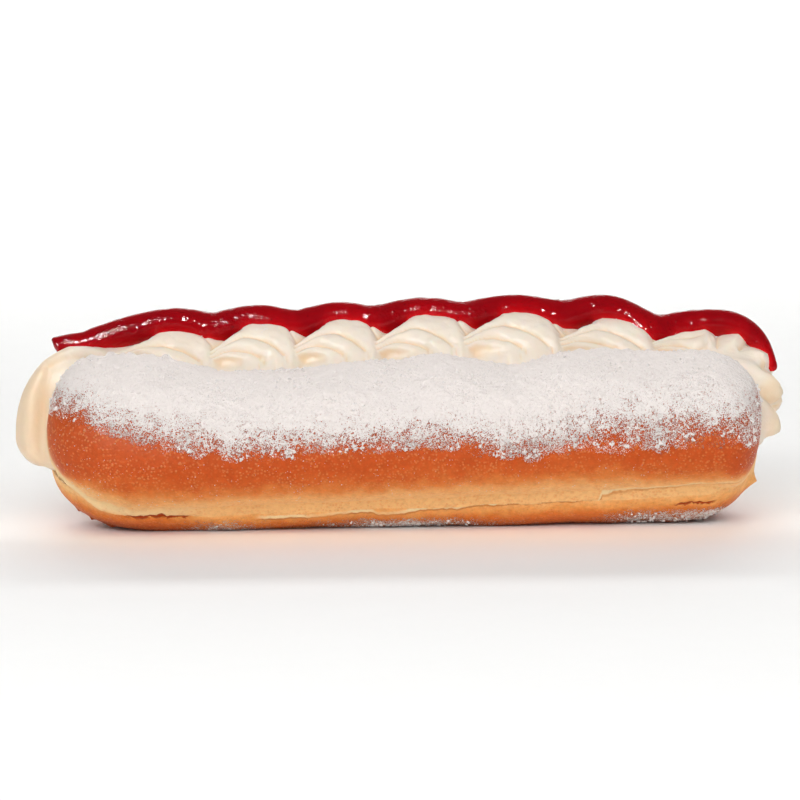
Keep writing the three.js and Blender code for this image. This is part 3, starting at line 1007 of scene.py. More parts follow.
@dataclass
class JamRope:
    """A rope of jam that lies along the crests of the cream and sags into each valley."""

    cream: CreamRope
    radius: float = 3.45
    orbit: float = 14.6
    dip: float = 2.2
    dip_width: float = 5.5
    last_dip: float = 1.7
    end_drop: Fade = Fade(-52.0, -88.0, 7.0)
    end_lift: Fade = Fade(-75.0, -84.0, 2.6)
    left: float = -83.4
    right: float = 88.4
    angle: float = 30.0 * DEG
    end_turn: Fade = Fade(64.0, 84.0, 14.0 * DEG)
    margins: Ends = Ends(1.2, -0.4)
    left_thickness: float = 0.64
    full_thickness: float = 0.96
    thickening: float = 10.0
    cut_flare: Bell = Bell(0.1, -83.4, 0.8)
    taper_from: float = 78.0
    taper: float = 0.66
    valley_swell: float = 0.24
    left_swell: Bell = Bell(0.08, -66.0, 8.0)
    tip_share: float = 0.007
    blunt_share: float = 0.004
    blunt_power: float = 0.25
    unevenness: tuple[Ripple, ...] = (Ripple(0.02, 9.0, 31), Ripple(0.006, 3.5, 32))
    film: float = -0.2
    settled_margins: Ends = Ends(0.4, 0.4)
    smallest_scale: float = 0.25
    deepest_groove: float = -1.0
    hangs_free: Fade = Fade(80.0, 85.0)
    pole_thickness: float = 0.5
    trial_steps: int = 4000
    end_crowding: float = 1.5
    length_steps: int = 620
    sides: int = 56

    def valleyness(self, x: np.ndarray) -> np.ndarray:
        """Bells of height 1 in the valleys between turns, and of more in the last one."""
        sag = np.zeros_like(x)
        for turn in range(self.cream.last_turn + 1):
            strength = self.last_dip if turn == self.cream.last_turn else 1.0
            valley = Bell(strength, self.cream.valley_at(turn), self.dip_width)
            sag = np.maximum(sag, valley.at(x))
        return sag

    def angle_at(self, x: np.ndarray) -> np.ndarray:
        """Angle of the rope round the cream: it turns to the front at its right end."""
        return self.angle + self.end_turn.at(x)

    def axis(self, x: np.ndarray) -> np.ndarray:
        """The rope's middle line: over the crests, sagging between them, then over the end."""
        cream = self.cream
        ends = self.end_drop.at(x) - self.end_lift.at(x)
        angle = self.angle_at(x)
        radius = self.orbit + cream.arch_at(x) - self.dip * self.valleyness(x) - ends
        scale, centre = cream.cap_scale(x, self.margins)
        p = centre + (cream.depth + radius * np.cos(angle) - centre) * scale
        stance = cream.bun.stance
        return stance.place(x, stance.middle, p, radius * np.sin(angle) * scale)

    def radius_at(self, x: np.ndarray) -> np.ndarray:
        """Radius of the rope: a little thinner at both ends and thicker in the valleys."""
        grown = smoothstep(self.left, self.left + self.thickening, x)
        start = mix(self.left_thickness, self.full_thickness, grown) + self.cut_flare.at(x)
        past = np.clip((x - self.taper_from) / (self.right - self.taper_from), 0.0, 1.0)
        swell = self.valley_swell * self.valleyness(x) + self.left_swell.at(x)
        return self.radius * start * (1.0 - self.taper * past**2) * (1.0 + swell)

    def settle(self, points: np.ndarray) -> tuple[np.ndarray, np.ndarray]:
        """Lifts places that lie inside the cream onto it.

        Each place is read in the cream's polar section, and its radius is kept above the cream's.

        Returns:
            The places, and the thickness of jam between each and the cream below it.
        """
        cream, stance = self.cream, self.cream.bun.stance
        x, p, q = stance.measure(points, stance.middle)
        scale, centre = cream.cap_scale(x, self.settled_margins)
        scale = np.maximum(scale, self.smallest_scale)
        up, side = centre + (p - centre) / scale - cream.depth, q / scale
        angle, reach = np.arctan2(side, up), np.hypot(up, side)
        push = np.maximum(cream.fan.push(x, p, angle), self.deepest_groove)
        floor = cream.radius(x, angle) + (self.film + push) / scale
        kept = mix(np.maximum(reach, floor), reach, self.hangs_free.at(x))
        p = centre + (cream.depth + kept * np.cos(angle) - centre) * scale
        q = kept * np.sin(angle) * scale
        return stance.place(x, stance.middle, p, q), np.maximum(kept - floor, 0.0) * scale

    def stations(self) -> np.ndarray:
        """Stations spread evenly along the rope's own length, which turns down at its right end."""
        share = np.linspace(0.0, 1.0, self.trial_steps)
        x = mix(self.left, self.right, 1.0 - (1.0 - share) ** self.end_crowding)
        step = np.linalg.norm(np.diff(self.axis(x), axis=0), axis=1)
        length = np.concatenate([[0.0], np.cumsum(step)])
        return np.interp(np.linspace(0.0, length[-1], self.length_steps + 1), length, x)

    def shell(self) -> Shell:
        """The rope as rings square to its middle line, settled on the cream."""
        t = np.linspace(0.0, 1.0, self.length_steps + 1)
        x = self.stations()
        axis = self.axis(x)
        ahead = self.axis(np.minimum(x + 0.1, self.right + 0.1)) - self.axis(x - 0.1)
        ahead /= np.linalg.norm(ahead, axis=1, keepdims=True)
        depth, stance, angle = self.cream.depth, self.cream.bun.stance, self.angle_at(x)
        outward = stance.place(x, stance.middle, depth + np.cos(angle), np.sin(angle))
        outward = outward - stance.place(x, stance.middle, depth, 0.0)
        side = np.cross(ahead, outward)
        side /= np.linalg.norm(side, axis=1, keepdims=True)
        up = np.cross(side, ahead)
        past = np.clip((t - 1.0 + self.tip_share) / self.tip_share, 0.0, 1.0)
        tip = np.sqrt(np.maximum(0.0, 1.0 - past**2))
        blunt = np.clip(t / self.blunt_share, 0.0, 1.0) ** self.blunt_power
        uneven = 1.0 + summed(self.unevenness, axis)
        radius = (self.radius_at(x) * tip * blunt * uneven)[:, None, None]
        turn = np.linspace(0.0, 2.0 * np.pi, self.sides + 1)[:-1][None, :, None]
        rings = axis[:, None] - radius * np.cos(turn) * side[:, None]
        rings = rings + radius * np.sin(turn) * up[:, None]
        rings, thickness = self.settle(rings)
        shell = Shell.loft(rings)
        poles = [self.pole_thickness, self.pole_thickness]
        shell.values["thickness"] = np.append(thickness[1:-1].reshape(-1), poles)
        return shell

    def build(self, material: bpy.types.Material) -> bpy.types.Object:
        """Makes the jam and dresses it."""
        return finish_piece(self.shell().mesh("jam_rope"), [material], ["jam"])


# ---- Loose sugar


class GrainShape(Enum):
    """Templates for loose sugar: how many times a small octahedron is split."""

    GRAIN = 0
    CLUMP = 1

    def template(self) -> tuple[np.ndarray, np.ndarray]:
        """Corners on a unit ball and the triangles between them."""
        corners = np.array([(1, 0, 0), (-1, 0, 0), (0, 1, 0), (0, -1, 0), (0, 0, 1), (0, 0, -1)], float)
        faces = np.array([(0, 2, 4), (2, 1, 4), (1, 3, 4), (3, 0, 4),
                          (2, 0, 5), (1, 2, 5), (3, 1, 5), (0, 3, 5)])
        for _ in range(self.value):
            middles = [(corners[faces[:, i]] + corners[faces[:, (i + 1) % 3]]) / 2.0 for i in range(3)]
            base = len(corners)
            count = len(faces)
            corners = np.vstack([corners, *middles])
            corners, index = np.unique(np.round(corners, 6), axis=0, return_inverse=True)
            index = index.ravel()
            a, b, c = (index[faces[:, i]] for i in range(3))
            ab, bc, ca = (index[base + i * count: base + (i + 1) * count] for i in range(3))
            faces = np.vstack([np.stack(trio, 1) for trio in
                               ((a, ab, ca), (ab, b, bc), (ca, bc, c), (ab, bc, ca))])
        return corners / np.linalg.norm(corners, axis=1, keepdims=True), faces


@dataclass
class Scatter:
    """Many small lumps as one mesh, each stretched, turned and roughened at random."""

    shape: GrainShape
    seed: int
    roughness: float = 0.28

    def shell(self, centres: np.ndarray, sizes: np.ndarray) -> Shell:
        """Copies the template to each centre, in millimetres.

        Args:
            centres: the middle of each lump.
            sizes: the mean radius of each lump.

        Returns:
            One shell that holds them all.
        """
        rng = np.random.default_rng(self.seed)
        corners, faces = self.shape.template()
        count = len(centres)
        frame = np.linalg.qr(rng.normal(size=(count, 3, 3)))[0]
        frame[np.linalg.det(frame) < 0.0, :, 0] *= -1.0
        stretch = rng.uniform(0.7, 1.25, (count, 1, 3))
        rough = 1.0 + self.roughness * rng.uniform(-1.0, 1.0, (count, len(corners), 1))
        lumps = (corners[None] * stretch * rough) @ frame
        points = centres[:, None] + lumps * sizes[:, None, None]
        index = faces[None] + (np.arange(count) * len(corners))[:, None, None]
        return Shell(points.reshape(-1, 3), index.reshape(-1, 3).tolist())


@dataclass(frozen=True)
class Sizes:
    """Radii of loose sugar: a least one, and a spread times a random share on a beta curve."""

    least: float
    spread: float
    rise: float
    fall: float

    def draw(self, rng: np.random.Generator, count: int) -> np.ndarray:
        """Draws that many radii, in millimetres."""
        return self.least + self.spread * rng.beta(self.rise, self.fall, count)


@dataclass(frozen=True)
class Patch:
    """Where loose sugar lies on one half: how many lumps, and between which shares of the powder."""

    half: Half
    count: int
    low: float
    high: float
    first_turn: float = 0.25


@dataclass
class Dusting:
    """Icing sugar that stands proud of the crust and the cream: clumps and single grains."""

    bun: Bun
    cream: CreamRope
    seed: int = 404
    border: Patch = Patch(Half.FRONT, 1500, 0.12, 0.8)
    caked: Patch = Patch(Half.FRONT, 90, 0.12, 0.7)
    top: Patch = Patch(Half.FRONT, 900, 0.85, 2.0)
    lip: Patch = Patch(Half.FRONT, 700, 0.6, 2.0, np.pi - 0.3)
    under: Patch = Patch(Half.BACK, 260, 0.35, 2.0, 0.1)
    loose: Patch = Patch(Half.FRONT, 15000, 0.03, 0.6)
    strays: Patch = Patch(Half.FRONT, 500, -0.2, 0.02)
    clump_sizes: tuple[Sizes, ...] = (Sizes(0.13, 0.42, 1.1, 7.0), Sizes(0.20, 0.3, 1.3, 5.0),
                                      Sizes(0.22, 0.4, 1.3, 4.0), Sizes(0.16, 0.5, 1.2, 5.0))
    caked_parts: int = 9
    caked_spread: float = 0.27
    caked_sizes: tuple[float, float] = (0.18, 0.36)
    grain_sizes: Sizes = Sizes(0.05, 0.12, 1.2, 2.5)
    tries: int = 16
    end_inset: float = 0.4
    front_last_turn: float = np.pi - 0.02
    back_last_turn: float = 1.6
    patchiness: tuple[Ripple, ...] = (Ripple(0.06, 5.0, 41), Ripple(0.05, 2.2, 42))
    least_cover: float = 0.6
    off_floor: float = 0.25
    specks: int = 1500
    speck_tries: int = 6
    speck_run: tuple[float, float] = (-70.0, 84.0)
    speck_turns: tuple[float, float] = (24.0, 66.0)
    speck_share: float = 0.08
    speck_crests: tuple[Bell, ...] = (Bell(1.0, -31.0, 6.0), Bell(1.0, 46.0, 8.0),
                                      Bell(0.9, 70.0, 9.0), Bell(0.5, -8.0, 6.0))
    speck_fade: Fade = Fade(66.0 * DEG, 36.0 * DEG)
    speck_sizes: tuple[float, float] = (0.06, 0.18)

    def spots(self, rng: np.random.Generator, patch: Patch) -> np.ndarray:
        """Random places on a dome where the sugar's share lies between a patch's two values."""
        count = patch.count * self.tries
        x = rng.uniform(-1.0, 1.0, count) * (self.bun.stance.half_length - self.end_inset)
        last_turn = self.front_last_turn if patch.half is Half.FRONT else self.back_last_turn
        turn = rng.uniform(patch.first_turn, last_turn, count)
        points = self.bun.dome(patch.half, x, turn)
        cover = self.bun.sugar_cover(points)
        patchy = cover + summed(self.patchiness, points)
        kept = (patchy > patch.low) & (patchy < patch.high) & (cover > self.least_cover * patch.low)
        points = points[kept][:patch.count]
        points[:, 2] = np.maximum(points[:, 2], self.off_floor)
        return points

    def clumps(self, rng: np.random.Generator) -> tuple[np.ndarray, np.ndarray]:
        """Draws the places and radii of the clumps, of which some are caked from smaller ones."""
        border = self.spots(rng, self.border)
        caked = self.spots(rng, self.caked).repeat(self.caked_parts, 0)
        caked = caked + rng.normal(0.0, self.caked_spread, caked.shape)
        single = [border, *(self.spots(rng, patch) for patch in (self.top, self.lip, self.under))]
        sizes = [rng.uniform(*self.caked_sizes, len(caked))]
        sizes += [size.draw(rng, len(group)) for size, group in zip(self.clump_sizes, single)]
        places, radii = np.vstack([caked, *single]), np.concatenate(sizes)
        places[:, 2] = np.maximum(places[:, 2], radii)
        return places, radii

    def speck_places(self, rng: np.random.Generator) -> np.ndarray:
        """Draws places on the crests of the cream beside the jam."""
        count = self.specks * self.speck_tries
        x = rng.uniform(*self.speck_run, count)
        angle = rng.uniform(*self.speck_turns, count) * DEG
        chance = (self.speck_share + summed(self.speck_crests, x)) * self.speck_fade.at(angle)
        kept = rng.uniform(size=count) < chance
        return self.cream.point(x[kept][:self.specks], angle[kept][:self.specks])

    def build(self, material: bpy.types.Material) -> None:
        """Makes the clumps, the loose grains and the specks on the cream, one piece for each."""
        rng = np.random.default_rng(self.seed)
        clumps = Scatter(GrainShape.CLUMP, self.seed + 1).shell(*self.clumps(rng))
        finish_piece(clumps.mesh("sugar_clumps"), [material])
        loose = np.vstack([self.spots(rng, self.loose), self.spots(rng, self.strays)])
        sizes = self.grain_sizes.draw(rng, len(loose))
        grains = Scatter(GrainShape.GRAIN, self.seed + 2).shell(loose, sizes)
        finish_piece(grains.mesh("sugar_grains"), [material])
        places = self.speck_places(rng)
        sizes = rng.uniform(*self.speck_sizes, len(places))
        specks = Scatter(GrainShape.GRAIN, self.seed + 3).shell(places, sizes)
        finish_piece(specks.mesh("cream_specks"), [material])


# ---- Finishes


class Graph:
    """A thin wrapper that adds and joins the nodes of a material or a node group."""

    def __init__(self, tree: bpy.types.NodeTree) -> None:
        """Keeps the tree that nodes are added to."""
        self.tree = tree

    def add(self, kind: str, **settings: object) -> bpy.types.Node:
        """Adds a node of a kind and sets its properties."""
        node = self.tree.nodes.new(kind)
        for key, value in settings.items():
            setattr(node, key, value)
        return node

    def feed(self, socket: bpy.types.NodeSocket, source: object) -> None:
        """Links an output socket to an input, or sets the input to a plain value."""
        if isinstance(source, bpy.types.NodeSocket):
            self.tree.links.new(source, socket)
        elif socket.type == "RGBA":
            socket.default_value = (*source, 1.0)
        else:
            socket.default_value = source

    def math(self, operation: str, *sources: object) -> bpy.types.NodeSocket:
        """Adds a Math node and feeds its inputs in order."""
        node = self.add("ShaderNodeMath", operation=operation)
        for socket, source in zip(node.inputs, sources):
            self.feed(socket, source)
        return node.outputs[0]

    def sum(self, first: object, *others: object) -> bpy.types.NodeSocket:
        """Adds several values."""
        return reduce(lambda total, source: self.math("ADD", total, source), others, first)

    def product(self, first: object, *others: object) -> bpy.types.NodeSocket:
        """Multiplies several values."""
        return reduce(lambda total, source: self.math("MULTIPLY", total, source), others, first)

    def spread(self, value: object, low: float, high: float, to_low: float = 0.0,
               to_high: float = 1.0, smooth: bool = True) -> bpy.types.NodeSocket:
        """Maps a value from one range onto another, smoothly or straight, and holds the ends."""
        node = self.add("ShaderNodeMapRange", interpolation_type="SMOOTHSTEP" if smooth else "LINEAR")
        for socket, source in zip(node.inputs, (value, low, high, to_low, to_high)):
            self.feed(socket, source)
        return node.outputs[0]

    def blend(self, factor: object, a: object, b: object) -> bpy.types.NodeSocket:
        """Mixes two colours by a factor."""
        node = self.add("ShaderNodeMix", data_type="RGBA")
        self.feed(node.inputs["Factor"], factor)
        for socket, source in zip((port for port in node.inputs if port.type == "RGBA"), (a, b)):
            self.feed(socket, source)
        return next(port for port in node.outputs if port.type == "RGBA")

    def noise(self, where: object, scale: float, detail: float = 3.0,
              roughness: float = 0.55) -> bpy.types.NodeSocket:
        """Adds fractal noise of a scale in cells a metre."""
        node = self.add("ShaderNodeTexNoise")
        self.feed(node.inputs["Vector"], where)
        for name, value in (("Scale", scale), ("Detail", detail), ("Roughness", roughness)):
            self.feed(node.inputs[name], value)
        return node.outputs[0]

    def cells(self, where: object, scale: float) -> bpy.types.NodeSocket:
        """Adds a Voronoi texture of a scale in cells a metre: the distance off each cell's middle."""
        node = self.add("ShaderNodeTexVoronoi")
        self.feed(node.inputs["Vector"], where)
        self.feed(node.inputs["Scale"], scale)
        return node.outputs["Distance"]

    def value(self, name: str) -> bpy.types.NodeSocket:
        """Reads one of the mesh's own point values."""
        return self.add("ShaderNodeAttribute", attribute_name=name).outputs["Fac"]

    def ramp(self, factor: object, stops: Sequence[tuple[float, Colour]]) -> bpy.types.NodeSocket:
        """Adds a colour ramp with the given stops."""
        node = self.add("ShaderNodeValToRGB")
        elements = node.color_ramp.elements
        while len(elements) < len(stops):
            elements.new(0.5)
        for element, (position, colour) in zip(elements, stops):
            element.position = position
            element.color = (*colour, 1.0)
        self.feed(node.inputs[0], factor)
        return node.outputs[0]


def linear(red: int, green: int, blue: int) -> Colour:
    """Turns an 8-bit screen colour into the linear values that shaders use."""
    parts = [value / 255.0 for value in (red, green, blue)]
    return tuple(c / 12.92 if c <= 0.04045 else ((c + 0.055) / 1.055) ** 2.4 for c in parts)


def new_group(name: str, inputs: dict[str, float], outputs: Sequence[str]
              ) -> tuple[Graph, bpy.types.Node, bpy.types.Node]:
    """Starts a node group that reads a place and some numbers.

    Args:
        name: the group's name.
        inputs: its numbers, with the value that each has unless it is fed.
        outputs: the masks and heights that it puts out.

    Returns:
        The graph of the group, its input node and its output node.
    """
    tree = bpy.data.node_groups.new(name, "ShaderNodeTree")
    tree.interface.new_socket("Place", in_out="INPUT", socket_type="NodeSocketVector")
    for key, value in inputs.items():
        socket = tree.interface.new_socket(key, in_out="INPUT", socket_type="NodeSocketFloat")
        socket.default_value = value
    for key in outputs:
        tree.interface.new_socket(key, in_out="OUTPUT", socket_type="NodeSocketFloat")
    graph = Graph(tree)
    return graph, graph.add("NodeGroupInput"), graph.add("NodeGroupOutput")


@dataclass(frozen=True)
class DustEffect:
    """Icing sugar laid on a surface.

    Cover is the share of the surface that is hidden. Clustered noise, stretched to run evenly from 0
    to 1, is added to it, and the mask nears 1 where the sum passes 1; with no cover there is none.
    The height follows the mask and the lumps of the powder.
    """

    patches: tuple[float, float, float] = (360.0, 2.0, 0.5)
    clumps: tuple[float, float, float] = (1400.0, 3.0, 0.7)
    grains: tuple[float, float, float] = (3900.0, 2.0, 0.6)
    cover_shares: tuple[float, float, float] = (0.18, 0.30, 0.52)
    noise_range: tuple[float, float] = (0.36, 0.64)
    mask_range: tuple[float, float] = (0.91, 1.10)
    bare_below: float = 0.05
    patch_height: float = 1.5
    grain_height: float = 0.5
    powder_height: float = 0.3

    def build(self) -> bpy.types.NodeTree:
        """Builds the node group."""
        graph, ports, result = new_group("icing_sugar_dust", {"Cover": 0.5}, ("Mask", "Height"))
        where, cover = ports.outputs["Place"], ports.outputs["Cover"]
        noises = [graph.noise(where, *noise) for noise in (self.patches, self.clumps, self.grains)]
        total = graph.sum(*(graph.product(*pair) for pair in zip(noises, self.cover_shares)))
        level = graph.sum(cover, graph.spread(total, *self.noise_range))
        mask = graph.product(graph.spread(level, *self.mask_range),
                             graph.spread(cover, 0.0, self.bare_below))
        patches, clumps, grains = noises
        powder = graph.sum(clumps, graph.product(grains, self.grain_height),
                           graph.product(patches, self.patch_height), self.powder_height)
        graph.feed(result.inputs["Mask"], mask)
        graph.feed(result.inputs["Height"], graph.product(mask, powder))
        return graph.tree


@dataclass(frozen=True)
class GrainEffect:
    """The fine unevenness of food: a shade about 1, and a height.

    Both come from the sum of a coarse noise and a finer one, with a scale in cells a metre.
    """

    coarse: tuple[float, float] = (4.0, 0.6)
    fine: tuple[float, float] = (2.0, 0.5)
    finer_by: float = 3.7
    fine_share: float = 0.35
    middle: float = 0.68

    def build(self) -> bpy.types.NodeTree:
        """Builds the node group."""
        graph, ports, result = new_group("food_grain", {"Scale": 600.0, "Strength": 0.2},
                                         ("Shade", "Height"))
        where, scale = ports.outputs["Place"], ports.outputs["Scale"]
        coarse = graph.noise(where, scale, *self.coarse)
        fine = graph.noise(where, graph.product(scale, self.finer_by), *self.fine)
        height = graph.sum(coarse, graph.product(fine, self.fine_share))
        centred = graph.math("SUBTRACT", height, self.middle)
        shade = graph.sum(graph.product(centred, ports.outputs["Strength"]), 1.0)
        graph.feed(result.inputs["Shade"], shade)
        graph.feed(result.inputs["Height"], height)
        return graph.tree


@dataclass(frozen=True)
class Effects:
    """The node groups that more than one finish places."""

    dust: bpy.types.NodeTree
    grain: bpy.types.NodeTree

    @classmethod
    def build(cls) -> "Effects":
        """Builds both groups once."""
        return cls(DustEffect().build(), GrainEffect().build())


class Dressing:
    """A material in the making: its nodes, its Principled shader and the place to read."""

    def __init__(self, name: str, effects: Effects) -> None:
        """Starts a node material of the given name."""
        self.material = bpy.data.materials.new(name)
        self.material.use_nodes = True
        self.effects = effects
        self.graph = Graph(self.material.node_tree)
        self.shader = self.material.node_tree.nodes["Principled BSDF"]
        self.place = self.graph.add("ShaderNodeTexCoord").outputs["Object"]

    def group(self, tree: bpy.types.NodeTree, **inputs: object) -> bpy.types.Node:
        """Places a node group and feeds its inputs by name."""
        node = self.graph.add("ShaderNodeGroup", node_tree=tree)
        self.graph.feed(node.inputs["Place"], self.place)
        for name, source in inputs.items():
            self.graph.feed(node.inputs[name], source)
        return node

    def grain(self, scale: float, strength: float) -> bpy.types.Node:
        """Places the food grain."""
        return self.group(self.effects.grain, Scale=scale, Strength=strength)

    def dust(self, cover: object) -> bpy.types.Node:
        """Places the icing sugar."""
        return self.group(self.effects.dust, Cover=cover)

    def tint(self, colour: object, shade: object) -> bpy.types.NodeSocket:
        """Multiplies a colour by a shade."""
        node = self.graph.add("ShaderNodeVectorMath", operation="SCALE")
        self.graph.feed(node.inputs[0], colour)
        self.graph.feed(node.inputs["Scale"], shade)
        return node.outputs[0]

    def bump(self, height: object, distance: float) -> None:
        """Feeds a height, with its depth in metres, to the shader's normal."""
        node = self.graph.add("ShaderNodeBump")
        self.graph.feed(node.inputs["Height"], height)
        node.inputs["Distance"].default_value = distance
        self.graph.feed(self.shader.inputs["Normal"], node.outputs[0])

    def set(self, **values: object) -> bpy.types.Material:
        """Sets or feeds the shader's sockets, with an underscore for a space, and returns the material."""
        for name, value in values.items():
            self.graph.feed(self.shader.inputs[name.replace("_", " ")], value)
        return self.material


@dataclass(frozen=True)
class CrustFinish:
    """Fried crust: brown domes, a pale waist round the cut, small blisters and icing sugar.

    The browning is a colour ramp over the distance off the cut face, in millimetres, which noise
    moves to and fro. The torn edge and the cracks lie where their own distances are near 0. A
    painted shadow lies just below the torn edge, and painted shade darkens the cracks.
    """

    sugar: Colour = linear(252, 243, 238)
    torn: Colour = linear(255, 232, 182)
    # painted shadow: the darker colour laid just below the raised torn edge
    shade: Colour = linear(214, 140, 74)
    # painted shade: the darker brown laid into the cracks stands for the shadow inside them
    crack: Colour = linear(176, 70, 16)
    blister: Colour = linear(244, 160, 92)
    browning: tuple[tuple[float, Colour], ...] = (
        (-15.0, linear(168, 78, 36)), (-12.0, linear(208, 104, 42)), (-9.4, linear(230, 130, 54)),
        (-7.0, linear(246, 172, 94)), (-3.5, linear(255, 204, 136)), (4.5, linear(253, 200, 134)),
        (6.6, linear(248, 182, 112)), (9.0, linear(232, 138, 66)), (11.4, linear(213, 100, 38)),
        (14.0, linear(203, 84, 26)), (18.0, linear(196, 78, 24)))
    wander: float = 6.0
    wander_noise: tuple[float, float, float] = (240.0, 5.0, 0.62)
    skin_grain: tuple[float, float] = (900.0, 0.5)
    skin_height: float = 0.3
    blister_scale: float = 1250.0
    blister_edge: tuple[float, float] = (0.5, 0.16)
    blister_patches: tuple[float, float] = (300.0, 2.0)
    blister_range: tuple[float, float] = (0.3, 0.6)
    blister_share: float = 0.45
    blister_height: float = 0.3
    jitter_noise: tuple[float, float] = (800.0, 3.0)
    gap_jitter: float = 1.4
    edge_jitter: float = 0.7
    crumb_starts: float = 0.3
    wear_noise: tuple[float, float] = (75.0, 2.0)
    wear_range: tuple[float, float, float, float] = (0.36, 0.56, 0.4, 1.0)
    flap_band: tuple[float, float, float, float] = (-0.2, 0.0, 0.5, 1.3)
    painted_shadow_band: tuple[float, float, float, float] = (-1.0, -0.5, -0.35, -0.12)
    crack_width: tuple[float, float] = (0.1, 0.75)
    crack_edge: tuple[float, float] = (1.0, 0.45)
    crack_opens: tuple[float, float] = (0.1, 0.6)
    tear_height: float = 0.5
    powder_grain: tuple[float, float] = (1400.0, 0.12)
    relief: float = 0.0004
    gloss: float = 0.16
    bare_roughness: float = 0.46
    powder_roughness: float = 0.95

    def browned(self, dress: Dressing) -> bpy.types.NodeSocket:
        """Colour of the crust by its distance off the cut face."""
        graph = dress.graph
        mottle = graph.math("SUBTRACT", graph.noise(dress.place, *self.wander_noise), 0.5)
        waist = graph.sum(graph.value("waist"), graph.product(mottle, self.wander))
        low, high = self.browning[0][0], self.browning[-1][0]
        along = graph.spread(waist, low, high, smooth=False)
        return graph.ramp(along, [((at - low) / (high - low), tone) for at, tone in self.browning])

    def blisters(self, dress: Dressing) -> bpy.types.NodeSocket:
        """Share of small blisters: the middles of cells, in patches."""
        graph = dress.graph
        chosen = graph.spread(graph.noise(dress.place, *self.blister_patches), *self.blister_range)
        cell = graph.cells(dress.place, self.blister_scale)
        return graph.product(graph.spread(cell, *self.blister_edge), chosen)

    def tears(self, dress: Dressing, colour: bpy.types.NodeSocket
              ) -> tuple[bpy.types.NodeSocket, bpy.types.NodeSocket]:
        """Lays the ragged crumb, the torn edge over its painted shadow, and the cracks' painted shade over
        a colour.

        Returns:
            The new colour, and the height of the torn edge less the depth of the cracks.
        """
        graph = dress.graph
        jitter = graph.math("SUBTRACT", graph.noise(dress.place, *self.jitter_noise), 0.5)
        gap = graph.sum(graph.value("gap"), graph.product(jitter, self.gap_jitter))
        ragged = graph.product(graph.value("crumb"), graph.spread(gap, 0.0, self.crumb_starts))
        colour = graph.blend(ragged, colour, self.torn)
        edge = graph.sum(graph.value("edge"), graph.product(jitter, self.edge_jitter))
        worn = graph.spread(graph.noise(dress.place, *self.wear_noise), *self.wear_range)
        worn = graph.product(worn, graph.value("torn"))
        # painted shadow: the band just below the torn edge is darkened towards the shade colour
        flap, shade = (graph.product(graph.spread(edge, starts, full),
                                     graph.spread(edge, ends, fades), worn)
                       for starts, full, fades, ends in (self.flap_band, self.painted_shadow_band))
        colour = graph.blend(shade, graph.blend(flap, colour, self.torn), self.shade)
        least, widening = self.crack_width
        width = graph.sum(graph.product(graph.value("opening"), widening), least)
        across = graph.math("DIVIDE", graph.math("ABSOLUTE", gap), width)
        # painted shade: how much of the darker brown goes into each crack
        split = graph.product(graph.spread(across, *self.crack_edge),
                              graph.spread(graph.value("opening"), *self.crack_opens))
        return graph.blend(split, colour, self.crack), graph.math("SUBTRACT", flap, split)

    def build(self, effects: Effects) -> bpy.types.Material:
        """Makes the material."""
        dress = Dressing("fried_crust", effects)
        graph = dress.graph
        skin = dress.grain(*self.skin_grain)
        spot = self.blisters(dress)
        colour = graph.blend(graph.product(spot, self.blister_share),
                             dress.tint(self.browned(dress), skin.outputs["Shade"]), self.blister)
        colour, tear = self.tears(dress, colour)
        sugar = dress.dust(graph.value("cover"))
        mask = sugar.outputs["Mask"]
        powder = dress.tint(self.sugar, dress.grain(*self.powder_grain).outputs["Shade"])
        dress.bump(graph.sum(graph.product(skin.outputs["Height"], self.skin_height),
                             graph.product(spot, self.blister_height), sugar.outputs["Height"],
                             graph.product(tear, self.tear_height)), self.relief)
        roughness = graph.spread(mask, 0.0, 1.0, self.bare_roughness, self.powder_roughness)
        return dress.set(Base_Color=graph.blend(mask, colour, powder), Roughness=roughness,
                         Specular_IOR_Level=self.gloss)


@dataclass(frozen=True)
class CrumbFinish:
    """Soft pale crumb on the cut faces, with small pores."""

    crumb: Colour = linear(247, 216, 170)
    pore: Colour = linear(228, 176, 114)
    pore_scale: float = 620.0
    pore_edge: tuple[float, float] = (0.5, 0.15)
    pore_share: float = 0.5
    grain: tuple[float, float] = (1500.0, 0.35)
    relief: float = 0.0004
    roughness: float = 0.85
    gloss: float = 0.2

    def build(self, effects: Effects) -> bpy.types.Material:
        """Makes the material."""
        dress = Dressing("cut_crumb", effects)
        graph = dress.graph
        pores = graph.spread(graph.cells(dress.place, self.pore_scale), *self.pore_edge)
        fine = dress.grain(*self.grain)
        colour = graph.blend(graph.product(pores, self.pore_share),
                             dress.tint(self.crumb, fine.outputs["Shade"]), self.pore)
        dress.bump(graph.math("SUBTRACT", fine.outputs["Height"], pores), self.relief)
        return dress.set(Base_Color=colour, Roughness=self.roughness, Specular_IOR_Level=self.gloss)


